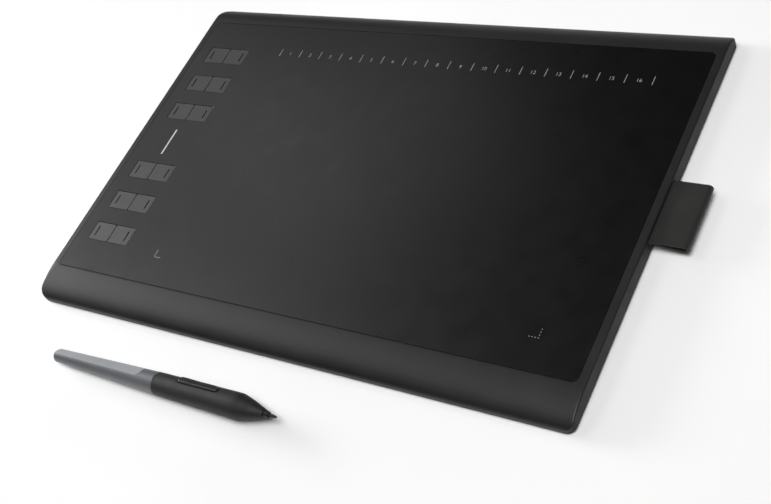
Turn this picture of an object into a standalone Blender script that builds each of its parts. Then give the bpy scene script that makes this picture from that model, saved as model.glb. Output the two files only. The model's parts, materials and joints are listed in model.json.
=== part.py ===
"""Pen drawing tablet with twelve press keys, a fabric pen loop and its pen.

Every length here is in millimetres, and becomes metres where a mesh is made.
The tablet lies flat on its four feet, +Z up, with its long side along X and its
palm edge towards -Y. Its own frame has the plan centre of the housing at X = Y = 0
and the surface it stands on at Z = 0. The pen lies in front of the palm edge.
The pen's own frame runs along its axis: Z = 0 at the tail and the nib at the far
end, with +X towards the flat on its barrel and the rocker button.
"""

import math

import bmesh
import bpy
from mathutils import Matrix, Vector

MM = 0.001
GAP = 0.3
WELD = 0.000001
OVERCUT = 2.0

# Housing
LENGTH = 360.0
DEPTH = 240.0
HEIGHT = 10.0
CORNER_RADII = (4.0, 10.0, 7.0, 4.5)
WALL = 1.5
SEAM_Z = 2.3
COVER_Z = 0.8
COVER_PLATE = 1.2
COVER_EDGE = 0.7
LIP_TOP = 2.9
LIP_WALL = 1.0
PALM_RUN = 22.0
REAR_RUN = 13.0
CAVITY_TOP = 7.7
DECK_TOP = 9.2
CORNER_STEPS = 6
SLOPE_STEPS = 8

# Drawing surface
SHEET_HALF_LENGTH = 175.2
SHEET_FRONT = -98.0
SHEET_REAR = 104.0
SHEET_RADIUS = 3.0
SHEET_BOTTOM = 9.5

# Press keys, in pairs down the left side
PAIR_X = -149.0
PAIR_PITCH = 24.3
PAIR_MIDDLE_Y = 2.5
PAIR_STEPS = (3, 2, 1, -1, -2, -3)
KEY_LENGTH = 16.1
KEY_DEPTH = 12.6
KEY_SPLIT = 0.6
KEY_TOP = 9.9
KEY_SKIRT = 7.3
KEY_FLANGE = 0.9
KEY_FLANGE_BOTTOM = 6.4
KEY_STEM_BOTTOM = 5.7
KEY_STEM_RADIUS = 2.0
KEY_SLOT_LENGTH = 7.0
KEY_SLOT_WIDTH = 0.9
KEY_SLOT_DEPTH = 0.35
KEY_SLOT_OFFSET = 12.6
WINDOW_RADIUS = 0.8

# Boards and sheets inside
BOARD_BOTTOM = 3.0
BOARD_TOP = 4.0
KEY_BOARD = (-176.5, -84.0, -130.0, 102.0)
MAIN_BOARD = (-122.0, 40.0, -62.0, 98.0)
SENSOR_BOARD = (-126.0, -92.0, 167.0, 98.0)
SENSOR_BOTTOM = 6.4
SENSOR_TOP = 7.4
SHIELD = (-108.0, -92.0, 167.0, 98.0)
SHIELD_BOTTOM = 5.6
SHIELD_TOP = 6.1
DOME_SHEET = (-165.6, -80.0, -132.4, 85.0)
DOME_FILM = 0.2
DOME_HEIGHT = 0.5
DOME_RADIUS = 3.0
DOME_CREST = 1.8
BOARD_RADIUS = 2.0
CHIPS = (
    (-88.0, 74.0, 10.0, 10.0, 1.1),
    (-74.0, 56.0, 6.0, 5.0, 1.2),
    (-96.0, 52.0, 5.0, 3.2, 0.9),
)

# Sockets in the left wall
USB_Y = 95.0
USB_SIZE = (9.0, 8.4, 3.1)
USB_WALL = 0.4
USB_TONGUE = (6.0, 5.6, 0.7)
CARD_Y = 73.0
CARD_SIZE = (12.0, 14.0, 1.5)
CARD_SLOT = (11.0, 12.0, 0.9)
SOCKET_BOTTOM = BOARD_TOP + GAP

# Flat ribbons between the boards
RIBBON = 0.2
RIBBON_TAB = 5.0
SENSOR_RIBBON_Y = (60.0, 80.0)
SENSOR_RIBBON_INSET = 2.0
SENSOR_RIBBON_GAP = 4.0
SENSOR_RIBBON_END = 3.0
KEY_RIBBON_Y = (88.0, 100.0)
KEY_RIBBON_ARCH = 6.0
KEY_RIBBON_RISE = 0.8

# Fabric pen loop in the right wall
LOOP_REACH = 20.0
LOOP_Y = 2.4
LOOP_WIDTH = 38.0
LOOP_CLOTH = 1.0
LOOP_FOLD = 4.5
LOOP_FOLD_Z = 5.7
LOOP_UPPER_Z = 7.7
LOOP_LOWER_Z = 6.4
LOOP_ROOT_X = 172.5
LOOP_RAMP_STEPS = 5
LOOP_FOLD_STEPS = 8
NOTCH_BOTTOM = 5.5
NOTCH_TOP = 8.5
ANCHOR_X = (171.6, 177.6)
ANCHOR_Z = (4.3, 5.6)

# Screws, screw bosses, board posts and feet
SCREW_POINTS = (
    (-172.0, -104.0),
    (0.0, -104.0),
    (172.0, -104.0),
    (-172.0, 108.0),
    (0.0, 108.0),
    (172.0, 108.0),
)
SCREW_HEAD_RADIUS = 2.1
SCREW_SHANK_RADIUS = 0.85
SCREW_HEAD_Z = (1.0, 1.9)
SCREW_TIP_Z = 6.6
BOSS_RADIUS = 2.8
BOSS_Z = (3.5, 8.6)
PAD_RADIUS = 4.2
PAD_TOP = 3.2
POST_RADIUS = 2.0
BOARD_POSTS = (
    (-172.0, -78.0),
    (-136.0, -78.0),
    (-172.0, 30.0),
    (-136.0, 96.0),
    (-118.0, 44.0),
    (-66.0, 94.0),
)
SHIELD_POSTS = (
    (-40.0, -60.0),
    (30.0, -60.0),
    (100.0, -60.0),
    (-40.0, 30.0),
    (30.0, 30.0),
    (100.0, 30.0),
)
FOOT_CENTRE = (150.0, 98.0)
FOOT_SIZE = (36.0, 10.0)
FOOT_RADIUS = 3.0
FOOT_TOP = 1.0

# Pen, along its own axis from the tail
PEN_LENGTH = 167.0
PEN_TAIL_X = -137.0
PEN_Y = -152.75
PEN_ROLL = 30.0
PEN_STEPS = 24
TAIL_RADIUS = 4.0
TAIL_ROUND = 2.2
JOIN_Z = 83.5
JOIN_RADIUS = 6.4
WIDEST_Z = 143.0
WIDEST_RADIUS = 7.25
CONE_END_Z = 159.0
CONE_END_RADIUS = 2.5
FLAT_END_Z = 71.0
FLAT_HALF_ANGLE = 40.0
FLAT_HALF_WIDTH = 4.1
BARREL_BORE = 2.8
BORE_START_Z = 14.0
SPIGOT_RADIUS = 4.3
SPIGOT_Z = 77.0
SPIGOT_WALL = 1.3
SPIGOT_WEB_Z = (85.0, 86.0)
GRIP_BORE = 4.9
GRIP_NOSE_BORE = 3.8
NIB_CLEARANCE = 0.1
GRIP_NOSE_Z = (141.0, 151.0)
SHOULDER_DROP = 0.7
SHOULDER_RUN = 2.2
NIB_RADIUS = 0.95
NIB_REAR_Z = 132.6
NIB_BORE = 1.25
COLLAR_RADII = (2.2, 2.0, 1.8, 1.7)
COLLAR_STEPS = (0.8, 0.9, 1.8, 1.9, 2.7)
ROCKER_Z = 114.6
ROCKER_LENGTH = 28.0
ROCKER_WIDTH = 4.2
ROCKER_X = (5.0, 7.75)
ROCKER_LUG_X = 3.3
ROCKER_LUG_HALF = 1.5
ROCKER_LUG_INSET = 0.1
ROCKER_LUG_ROOT = 0.5
ROCKER_PIN_X = 4.3
ROCKER_PIN_RADIUS = 0.4
ROCKER_PIN_HALF = 3.9
PEN_BOARD_X = (1.7, 2.5)
PEN_BOARD_Z = (88.0, 127.5)
PEN_BOARD_HALF = 3.9
SWITCH_X = (2.8, 4.5)
SWITCH_HALF = 1.7
SWITCH_OFFSET = 9.0
SWITCH_EDGE = 0.2
CARRIER_RADIUS = 4.6
CARRIER_BORE = 3.6
CARRIER_TOP = 1.4
CARRIER_Z = (86.5, 132.0)
PRESSURE_SENSOR_RADIUS = 3.2
PRESSURE_SENSOR_Z = (128.5, 131.5)
FERRITE_RADIUS = 2.1
FERRITE_Z = (135.0, 154.0)
COIL_RADII = (2.4, 3.3)
COIL_Z = (136.5, 150.0)

# Colours in linear light
MASK_GREEN = (0.02, 0.16, 0.07)
POLYIMIDE = (0.75, 0.75, 0.72)

# The origin is the centre of the footprint of tablet, loop and pen together.
TABLET_X = -LOOP_REACH / 2
TABLET_Y = (WIDEST_RADIUS - PEN_Y - DEPTH / 2) / 2

PLANES = {
    "XY": Matrix(((1, 0, 0), (0, 1, 0), (0, 0, 1))),
    "YZ": Matrix(((0, 0, 1), (1, 0, 0), (0, 1, 0))),
    "XZ": Matrix(((1, 0, 0), (0, 0, -1), (0, 1, 0))),
}


# ---------------------------------------------------------------- scene and materials


def clear_scene():
    for obj in list(bpy.data.objects):
        bpy.data.objects.remove(obj, do_unlink=True)


def collection(name):
    """The collection of that name, made and linked when it is first asked for."""
    group = bpy.data.collections.get(name)
    if group is None:
        group = bpy.data.collections.new(name)
        bpy.context.scene.collection.children.link(group)
    return group


def material(name, colour, roughness, metallic=0.0):
    made = bpy.data.materials.new(name)
    made.use_nodes = True
    shader = made.node_tree.nodes["Principled BSDF"]
    shader.inputs["Base Color"].default_value = (*colour, 1.0)
    shader.inputs["Roughness"].default_value = roughness
    shader.inputs["Metallic"].default_value = metallic
    return made


def link(name, mesh, parent, group="pen_drawing_tablet"):
    obj = bpy.data.objects.new(name, mesh)
    collection(group).objects.link(obj)
    obj.parent = parent
    return obj


def finish(obj, colour, roughness, metallic=0.0, sharp=35.0):
    """Gives a part its own material and smooth shading up to the sharp angle."""
    obj.data.materials.append(material(obj.name, colour, roughness, metallic))
    obj.data.shade_smooth()
    obj.data.set_sharp_from_angle(angle=math.radians(sharp))
    return obj


def as_cutter(obj):
    obj.hide_render = True
    obj.display_type = "WIRE"
    return obj


# ---------------------------------------------------------------- outlines


def arc(centre, radii, start, end, steps):
    """Points of an elliptic arc, both ends included, with angles in degrees."""
    points = []
    for step in range(steps + 1):
        angle = math.radians(start + (end - start) * step / steps)
        points.append((centre[0] + radii[0] * math.cos(angle), centre[1] + radii[1] * math.sin(angle)))
    return points


def rounded(low_x, low_y, high_x, high_y, radius, steps=CORNER_STEPS):
    """Outline of a rectangle with round corners."""
    corners = (
        (high_x - radius, high_y - radius, 0),
        (low_x + radius, high_y - radius, 90),
        (low_x + radius, low_y + radius, 180),
        (high_x - radius, low_y + radius, 270),
    )
    points = []
    for x, y, start in corners:
        points += arc((x, y), (radius, radius), start, start + 90, steps)
    return points


def centred(x, y, length, depth, radius, steps=CORNER_STEPS):
    return rounded(x - length / 2, y - depth / 2, x + length / 2, y + depth / 2, radius, steps)


def plan_outline(inset=0.0):
    """Plan of the housing. Its corners differ, and are listed from the rear right one round by the left."""
    quarters = ((1, 1), (-1, 1), (-1, -1), (1, -1))
    points = []
    for number, (side, end) in enumerate(quarters):
        radius = CORNER_RADII[number] - inset
        centre = (side * (LENGTH / 2 - inset - radius), end * (DEPTH / 2 - inset - radius))
        points += arc(centre, (radius, radius), 90 * number, 90 * (number + 1), CORNER_STEPS)
    return points


def side_outline(inset, top, bottom):
    """Section across the housing: the palm slope, the flat top and the round rear edge."""
    rise = top - SEAM_Z
    front_centre = -DEPTH / 2 + PALM_RUN
    rear_centre = DEPTH / 2 - REAR_RUN
    points = [(-DEPTH / 2 + inset, bottom), (DEPTH / 2 - inset, bottom)]
    points += arc((rear_centre, SEAM_Z), (REAR_RUN - inset, rise), 0, 90, SLOPE_STEPS)
    points += arc((front_centre, SEAM_Z), (PALM_RUN - inset, rise), 90, 180, SLOPE_STEPS)
    return points


def ramp(start, end, steps):
    """Points from start to end that leave and arrive level."""
    points = []
    for step in range(1, steps + 1):
        t = step / steps
        ease = t * t * (3 - 2 * t)
        points.append((start[0] + (end[0] - start[0]) * t, start[1] + (end[1] - start[1]) * ease))
    return points


def strip(path, thickness):
    """Closed outline of a band of even thickness along an open path."""
    left, right = [], []
    for index, point in enumerate(path):
        before = Vector(path[max(index - 1, 0)])
        after = Vector(path[min(index + 1, len(path) - 1)])
        along = (after - before).normalized() * thickness / 2
        left.append((point[0] - along.y, point[1] + along.x))
        right.append((point[0] + along.y, point[1] - along.x))
    return left + right[::-1]


# ---------------------------------------------------------------- solids


def to_mesh(name, bm):
    """Mesh in metres from a bmesh in millimetres."""
    bmesh.ops.scale(bm, vec=(MM, MM, MM), verts=bm.verts)
    mesh = bpy.data.meshes.new(name)
    bm.to_mesh(mesh)
    bm.free()
    return mesh


def box(name, low, high, parent, group="pen_drawing_tablet", edge=0.0):
    """Box between two corners, with its edges cut back by edge."""
    size = Vector(high) - Vector(low)
    bm = bmesh.new()
    bmesh.ops.create_cube(bm, size=1.0)
    bmesh.ops.scale(bm, vec=size, verts=bm.verts)
    if edge:
        bmesh.ops.bevel(bm, geom=bm.edges[:], offset=edge, segments=1, affect="EDGES", profile=0.5)
    obj = link(name, to_mesh(name, bm), parent, group)
    obj.location = (Vector(low) + Vector(high)) / 2 * MM
    return obj


def cylinder(name, radius, low, high, centre, parent, group="pen_drawing_tablet", top=None, sides=16):
    """Upright cylinder, or a cone that ends in the radius given as top."""
    bm = bmesh.new()
    end = radius if top is None else top
    bmesh.ops.create_cone(bm, cap_ends=True, segments=sides, radius1=radius, radius2=end, depth=high - low)
    obj = link(name, to_mesh(name, bm), parent, group)
    obj.location = Vector((*centre, (low + high) / 2)) * MM
    return obj


def outline_mesh(name, outlines, thickness):
    """Flat mesh from closed outlines, of which all but the first are holes."""
    curve = bpy.data.curves.new(name, "CURVE")
    curve.dimensions = "2D"
    curve.fill_mode = "BOTH"
    curve.extrude = thickness / 2 * MM
    for outline in outlines:
        spline = curve.splines.new("POLY")
        spline.points.add(len(outline) - 1)
        spline.use_cyclic_u = True
        for point, (x, y) in zip(spline.points, outline):
            point.co = (x * MM, y * MM, 0.0, 1.0)
    guide = bpy.data.objects.new(name, curve)
    bpy.context.scene.collection.objects.link(guide)
    graph = bpy.context.evaluated_depsgraph_get()
    mesh = bpy.data.meshes.new_from_object(guide.evaluated_get(graph))
    bpy.data.objects.remove(guide)
    bm = bmesh.new()
    bm.from_mesh(mesh)
    bmesh.ops.remove_doubles(bm, verts=bm.verts, dist=WELD)
    bmesh.ops.recalc_face_normals(bm, faces=bm.faces)
    bm.to_mesh(mesh)
    bm.free()
    return mesh


def slab(name, outlines, low, high, parent, plane="XY", group="pen_drawing_tablet"):
    """Prism on outlines drawn in a plane, between two places along its normal."""
    mesh = outline_mesh(name, outlines, high - low)
    turn = PLANES[plane]
    mesh.transform(turn.to_4x4())
    obj = link(name, mesh, parent, group)
    middle = (low + high) / 2 if plane != "XZ" else -(low + high) / 2
    obj.location = turn @ Vector((0.0, 0.0, middle * MM))
    return obj


def turned(name, profile, parent, group="pen_drawing_tablet", steps=PEN_STEPS):
    """Solid of revolution about Z from a closed profile of (radius, z).

    The profile runs down the outer side and back up the bore. It is not joined
    along the axis, where both ends of a stretch have no radius.
    """
    mesh = bpy.data.meshes.new(name)
    bm = bmesh.new()
    corners = [bm.verts.new((radius * MM, 0.0, z * MM)) for radius, z in profile]
    for start, end in zip(corners, corners[1:] + corners[:1]):
        if max(start.co.x, end.co.x) > 0.0:
            bm.edges.new((start, end))
    bm.to_mesh(mesh)
    bm.free()
    obj = link(name, mesh, parent, group)
    screw = obj.modifiers.new("turn", "SCREW")
    screw.axis = "Z"
    screw.angle = 2 * math.pi
    screw.steps = steps
    screw.render_steps = steps
    screw.use_merge_vertices = True
    screw.merge_threshold = WELD
    screw.use_normal_calculate = False
    return obj


def combine(obj, group, operation):
    """Boolean of a part with every solid in a collection of helpers."""
    for helper in collection(group).objects:
        as_cutter(helper)
    boolean = obj.modifiers.new(group, "BOOLEAN")
    boolean.operation = operation
    boolean.operand_type = "COLLECTION"
    boolean.collection = collection(group)
    boolean.solver = "EXACT"
    return obj


def settled_mesh(obj):
    """The part's mesh with its modifiers applied, for sharing."""
    graph = bpy.context.evaluated_depsgraph_get()
    mesh = bpy.data.meshes.new_from_object(obj.evaluated_get(graph))
    mesh.name = obj.name
    return mesh


# ---------------------------------------------------------------- housing


def pair_centres():
    return [(PAIR_X, PAIR_MIDDLE_Y + PAIR_PITCH * step) for step in PAIR_STEPS]


def key_windows():
    length = 2 * KEY_LENGTH + KEY_SPLIT + 2 * GAP
    depth = KEY_DEPTH + 2 * GAP
    return [centred(x, y, length, depth, WINDOW_RADIUS, 2) for x, y in pair_centres()]


def sheet_outline(grow=0.0):
    half = SHEET_HALF_LENGTH + grow
    return rounded(-half, SHEET_FRONT - grow, half, SHEET_REAR + grow, SHEET_RADIUS + grow, 3)


def frame_cavity(tablet):
    """The space under the deck, open at the bottom."""
    outline = side_outline(WALL, CAVITY_TOP, SEAM_Z - OVERCUT)
    half = LENGTH / 2 - WALL
    cavity = slab("frame_cavity", [outline], -half, half, tablet, "YZ", "frame_cuts")
    slab("cavity_plan", [plan_outline(WALL)], -OVERCUT, HEIGHT, tablet, "XY", "cavity_bounds")
    combine(cavity, "cavity_bounds", "INTERSECT")


def frame_openings(tablet):
    """Cuts through the frame's deck and walls."""
    slab("sheet_recess", [sheet_outline(GAP)], DECK_TOP, HEIGHT + OVERCUT, tablet, "XY", "frame_openings")
    for number, window in enumerate(key_windows(), 1):
        slab(f"deck_window_{number}", [window], CAVITY_TOP - OVERCUT, HEIGHT, tablet, "XY", "frame_openings")
    notch_half = LOOP_WIDTH / 2 + 2 * GAP
    box(
        "loop_notch",
        (ANCHOR_X[0] + GAP, LOOP_Y - notch_half, NOTCH_BOTTOM),
        (LENGTH / 2 + OVERCUT, LOOP_Y + notch_half, NOTCH_TOP),
        tablet,
        "frame_openings",
    )
    left = -LENGTH / 2
    for name, y, size in (("usb_mouth", USB_Y, USB_SIZE), ("card_mouth", CARD_Y, CARD_SIZE)):
        low = (left - OVERCUT, y - size[1] / 2 - GAP, SOCKET_BOTTOM - GAP)
        high = (left + size[0], y + size[1] / 2 + GAP, SOCKET_BOTTOM + size[2] + GAP / 2)
        box(name, low, high, tablet, "frame_openings")
    for number, point in enumerate(SCREW_POINTS, 1):
        radius, low = SCREW_SHANK_RADIUS + GAP, BOSS_Z[0] - OVERCUT
        cylinder(f"boss_hole_{number}", radius, low, SCREW_TIP_Z + GAP, point, tablet, "frame_openings")


def top_frame(tablet):
    half = LENGTH / 2
    frame = slab("top_frame", [side_outline(0.0, HEIGHT, SEAM_Z)], -half, half, tablet, "YZ")
    slab("frame_plan", [plan_outline()], 0.0, HEIGHT + OVERCUT, tablet, "XY", "frame_bounds")
    combine(frame, "frame_bounds", "INTERSECT")
    frame_cavity(tablet)
    combine(frame, "frame_cuts", "DIFFERENCE")
    for number, point in enumerate(SCREW_POINTS, 1):
        cylinder(f"frame_boss_{number}", BOSS_RADIUS, *BOSS_Z, point, tablet, "frame_bosses")
    combine(frame, "frame_bosses", "UNION")
    frame_openings(tablet)
    combine(frame, "frame_openings", "DIFFERENCE")
    finish(frame, (0.045, 0.045, 0.047), 0.5)


def round_lower_rim(mesh, width):
    """Rounds the edge between the underside and the side wall of a slab."""
    bm = bmesh.new()
    bm.from_mesh(mesh)
    low = [edge for edge in bm.edges if all(corner.co.z < 0.0 for corner in edge.verts)]
    rim = [edge for edge in low if edge.calc_face_angle(0.0) > 1.0]
    bmesh.ops.bevel(bm, geom=rim, offset=width * MM, segments=2, affect="EDGES", profile=0.5)
    bm.to_mesh(mesh)
    bm.free()


def cover_tray(tablet):
    """The cover's plate with its lip, and its lower edge cut back."""
    plate_top = COVER_Z + COVER_PLATE
    cover = slab("bottom_cover", [plan_outline()], COVER_Z, plate_top, tablet)
    round_lower_rim(cover.data, COVER_EDGE)
    lip_inset = WALL + GAP
    lip = [plan_outline(lip_inset), plan_outline(lip_inset + LIP_WALL)]
    slab("cover_lip", lip, plate_top - COVER_PLATE / 2, LIP_TOP, tablet, "XY", "cover_additions")
    return cover


def bottom_cover(tablet):
    cover = cover_tray(tablet)
    base = COVER_Z + COVER_PLATE / 2
    for number, point in enumerate(SCREW_POINTS, 1):
        cylinder(f"screw_pad_{number}", PAD_RADIUS, base, PAD_TOP, point, tablet, "cover_additions")
        head, shank = SCREW_HEAD_RADIUS + GAP, SCREW_SHANK_RADIUS + GAP
        cylinder(f"head_bore_{number}", head, -OVERCUT, SCREW_HEAD_Z[1] + GAP, point, tablet, "cover_cuts")
        cylinder(f"shank_bore_{number}", shank, 0.0, PAD_TOP + OVERCUT, point, tablet, "cover_cuts")
    for kind, points, under in (("board", BOARD_POSTS, BOARD_BOTTOM), ("shield", SHIELD_POSTS, SHIELD_BOTTOM)):
        for number, point in enumerate(points, 1):
            name = f"{kind}_post_{number}"
            cylinder(name, POST_RADIUS, base, under - GAP, point, tablet, "cover_additions")
    for number, (x, y) in enumerate(foot_centres(), 1):
        pocket = centred(x, y, FOOT_SIZE[0] + 2 * GAP, FOOT_SIZE[1] + 2 * GAP, FOOT_RADIUS + GAP, 4)
        slab(f"foot_pocket_{number}", [pocket], -OVERCUT, FOOT_TOP + GAP, tablet, "XY", "cover_cuts")
    combine(cover, "cover_additions", "UNION")
    combine(cover, "cover_cuts", "DIFFERENCE")
    finish(cover, (0.04, 0.04, 0.042), 0.6)


def foot_centres():
    x, y = FOOT_CENTRE
    return [(-x, -y), (x, -y), (-x, y), (x, y)]


def feet(tablet):
    for number, (x, y) in enumerate(foot_centres(), 1):
        outline = centred(x, y, *FOOT_SIZE, FOOT_RADIUS, 4)
        finish(slab(f"foot_{number}", [outline], 0.0, FOOT_TOP, tablet), (0.02, 0.02, 0.02), 0.85)


def drawing_surface(tablet):
    sheet = slab("drawing_surface", [sheet_outline(), *key_windows()], SHEET_BOTTOM, HEIGHT, tablet)
    finish(sheet, (0.035, 0.035, 0.036), 0.55)


def screws(tablet):
    profile = [
        (0.0, SCREW_TIP_Z),
        (SCREW_SHANK_RADIUS, SCREW_TIP_Z - SCREW_SHANK_RADIUS),
        (SCREW_SHANK_RADIUS, SCREW_HEAD_Z[1]),
        (SCREW_HEAD_RADIUS, SCREW_HEAD_Z[1]),
        (SCREW_HEAD_RADIUS, SCREW_HEAD_Z[0]),
        (0.0, SCREW_HEAD_Z[0]),
    ]
    for number, (x, y) in enumerate(SCREW_POINTS, 1):
        screw = turned(f"housing_screw_{number}", profile, tablet, steps=12)
        screw.location = (x * MM, y * MM, 0.0)
        finish(screw, (0.35, 0.35, 0.36), 0.35, 1.0)


# ---------------------------------------------------------------- keys


def key_mesh(tablet):
    """One key for the left place of a pair: cap, flange, stem and the slot in its top."""
    half, wide = KEY_DEPTH / 2, KEY_DEPTH / 2 + KEY_FLANGE
    section = [
        (-wide, KEY_FLANGE_BOTTOM),
        (wide, KEY_FLANGE_BOTTOM),
        (wide, KEY_SKIRT),
        (half, KEY_SKIRT),
        (half, KEY_TOP - GAP),
        (half - GAP, KEY_TOP),
        (GAP - half, KEY_TOP),
        (-half, KEY_TOP - GAP),
        (-half, KEY_SKIRT),
        (-wide, KEY_SKIRT),
    ]
    model = slab("key_model", [section], -KEY_LENGTH / 2, KEY_LENGTH / 2, None, "YZ", "key_helpers")
    middle_to_slot = KEY_SLOT_OFFSET - (KEY_LENGTH + KEY_SPLIT) / 2
    low, high = KEY_STEM_BOTTOM, KEY_SKIRT - GAP
    cylinder("key_stem", KEY_STEM_RADIUS, low, high, (0.0, 0.0), None, "key_stem_solid", sides=12)
    box(
        "key_slot",
        (-middle_to_slot - KEY_SLOT_WIDTH / 2, -KEY_SLOT_LENGTH / 2, KEY_TOP - KEY_SLOT_DEPTH),
        (-middle_to_slot + KEY_SLOT_WIDTH / 2, KEY_SLOT_LENGTH / 2, KEY_TOP + OVERCUT),
        None,
        "key_slot_solid",
    )
    combine(model, "key_stem_solid", "UNION")
    combine(model, "key_slot_solid", "DIFFERENCE")
    return settled_mesh(as_cutter(model))


def keys(tablet):
    """Twelve keys. The right key of a pair is the left one turned half round."""
    mesh = key_mesh(tablet)
    middle = (KEY_LENGTH + KEY_SPLIT) / 2
    number = 0
    for x, y in pair_centres():
        for side in (-1, 1):
            number += 1
            key = link(f"key_{number}", mesh.copy(), tablet)
            key.location = ((x + side * middle) * MM, y * MM, 0.0)
            key.rotation_euler = (0.0, 0.0, math.pi if side > 0 else 0.0)
            finish(key, (0.06, 0.06, 0.062), 0.5)


# ---------------------------------------------------------------- electronics


def boards(tablet):
    sensor = slab("sensor_board", [rounded(*SENSOR_BOARD, BOARD_RADIUS, 2)], SENSOR_BOTTOM, SENSOR_TOP, tablet)
    finish(sensor, MASK_GREEN, 0.4)
    shield = slab("shield_plate", [rounded(*SHIELD, BOARD_RADIUS, 2)], SHIELD_BOTTOM, SHIELD_TOP, tablet)
    finish(shield, (0.55, 0.56, 0.57), 0.35, 1.0)
    key_board = slab("key_board", [rounded(*KEY_BOARD, BOARD_RADIUS, 2)], BOARD_BOTTOM, BOARD_TOP, tablet)
    finish(key_board, MASK_GREEN, 0.4)
    main = slab("main_board", [rounded(*MAIN_BOARD, BOARD_RADIUS, 2)], BOARD_BOTTOM, BOARD_TOP, tablet)
    for number, (x, y, length, depth, height) in enumerate(CHIPS, 1):
        low = (x - length / 2, y - depth / 2, BOARD_TOP - GAP)
        high = (x + length / 2, y + depth / 2, BOARD_TOP + height)
        box(f"chip_{number}", low, high, tablet, "main_board_chips")
    combine(main, "main_board_chips", "UNION")
    finish(main, MASK_GREEN, 0.4)


def dome_sheet(tablet):
    low = BOARD_TOP + GAP
    top = low + DOME_FILM
    film = slab("dome_sheet", [rounded(*DOME_SHEET, BOARD_RADIUS, 2)], low, top, tablet)
    base, crest = top - DOME_FILM / 2, top + DOME_HEIGHT
    middle = (KEY_LENGTH + KEY_SPLIT) / 2
    number = 0
    for x, y in pair_centres():
        for side in (-1, 1):
            number += 1
            centre = (x + side * middle, y)
            dome = (f"dome_{number}", DOME_RADIUS, base, crest, centre)
            cylinder(*dome, tablet, "domes", top=DOME_CREST, sides=12)
    combine(film, "domes", "UNION")
    finish(film, (0.6, 0.62, 0.64), 0.3)


def usb_socket(tablet):
    """Steel shell with its mouth in the left wall and a contact tongue inside."""
    depth, width, height = USB_SIZE
    left, bottom = -LENGTH / 2 + GAP, SOCKET_BOTTOM
    low = (left, USB_Y - width / 2, bottom)
    socket = box("usb_socket", low, (left + depth, USB_Y + width / 2, bottom + height), tablet)
    inner_low = (left - OVERCUT, USB_Y - width / 2 + USB_WALL, bottom + USB_WALL)
    inner_high = (left + depth - 2 * USB_WALL, USB_Y + width / 2 - USB_WALL, bottom + height - USB_WALL)
    box("usb_cavity", inner_low, inner_high, tablet, "usb_cuts")
    middle = bottom + height / 2
    tongue_low = (inner_high[0] - USB_TONGUE[0], USB_Y - USB_TONGUE[1] / 2, middle - USB_TONGUE[2] / 2)
    tongue_high = (inner_high[0] + USB_WALL, USB_Y + USB_TONGUE[1] / 2, middle + USB_TONGUE[2] / 2)
    box("usb_tongue", tongue_low, tongue_high, tablet, "usb_additions")
    combine(socket, "usb_cuts", "DIFFERENCE")
    combine(socket, "usb_additions", "UNION")
    finish(socket, (0.6, 0.6, 0.62), 0.25, 1.0)


def card_socket(tablet):
    depth, width, height = CARD_SIZE
    left = -LENGTH / 2 + WALL + GAP
    low = (left, CARD_Y - width / 2, SOCKET_BOTTOM)
    socket = box("card_socket", low, (left + depth, CARD_Y + width / 2, SOCKET_BOTTOM + height), tablet)
    slot_depth, slot_width, slot_height = CARD_SLOT
    middle = SOCKET_BOTTOM + height / 2
    slot_low = (left - OVERCUT, CARD_Y - slot_width / 2, middle - slot_height / 2)
    slot_high = (left + slot_depth, CARD_Y + slot_width / 2, middle + slot_height / 2)
    box("card_slot", slot_low, slot_high, tablet, "card_cuts")
    combine(socket, "card_cuts", "DIFFERENCE")
    finish(socket, (0.6, 0.6, 0.62), 0.3, 1.0)


def ribbon(name, path, span, tablet, colour):
    finish(slab(name, [strip(path, RIBBON)], *span, tablet, "XZ"), colour, 0.45, sharp=60.0)


def ribbons(tablet):
    on_board = BOARD_TOP + GAP + RIBBON / 2
    under_sensor = SENSOR_BOTTOM - GAP - RIBBON / 2
    start, end = SENSOR_BOARD[0] + SENSOR_RIBBON_INSET, SHIELD[0] - SENSOR_RIBBON_GAP
    path = [(start, under_sensor), (start + RIBBON_TAB, under_sensor)]
    path += ramp(path[-1], (end, on_board), 4) + [(end + SENSOR_RIBBON_END, on_board)]
    ribbon("sensor_ribbon", path, SENSOR_RIBBON_Y, tablet, POLYIMIDE)
    middle = (KEY_BOARD[2] + MAIN_BOARD[0]) / 2
    first, last = middle - KEY_RIBBON_ARCH, middle + KEY_RIBBON_ARCH
    path = [(first - RIBBON_TAB, on_board), (first, on_board)]
    path += ramp(path[-1], (middle, on_board + KEY_RIBBON_RISE), 3)
    path += ramp(path[-1], (last, on_board), 3) + [(last + RIBBON_TAB, on_board)]
    ribbon("key_ribbon", path, KEY_RIBBON_Y, tablet, POLYIMIDE)


# ---------------------------------------------------------------- pen loop


def loop_path():
    """Middle of the band: out of the wall, round the fold and back in under itself."""
    fold_radius = (LOOP_FOLD - LOOP_CLOTH) / 2
    fold_x = LENGTH / 2 + LOOP_REACH - LOOP_FOLD / 2
    path = [(LOOP_ROOT_X, LOOP_UPPER_Z), (LENGTH / 2, LOOP_UPPER_Z)]
    path += ramp(path[-1], (fold_x, LOOP_FOLD_Z + fold_radius), LOOP_RAMP_STEPS)
    path += arc((fold_x, LOOP_FOLD_Z), (fold_radius, fold_radius), 90, -90, LOOP_FOLD_STEPS)[1:]
    path += ramp(path[-1], (LENGTH / 2, LOOP_LOWER_Z), LOOP_RAMP_STEPS)
    path.append((LOOP_ROOT_X, LOOP_LOWER_Z))
    return path


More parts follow.
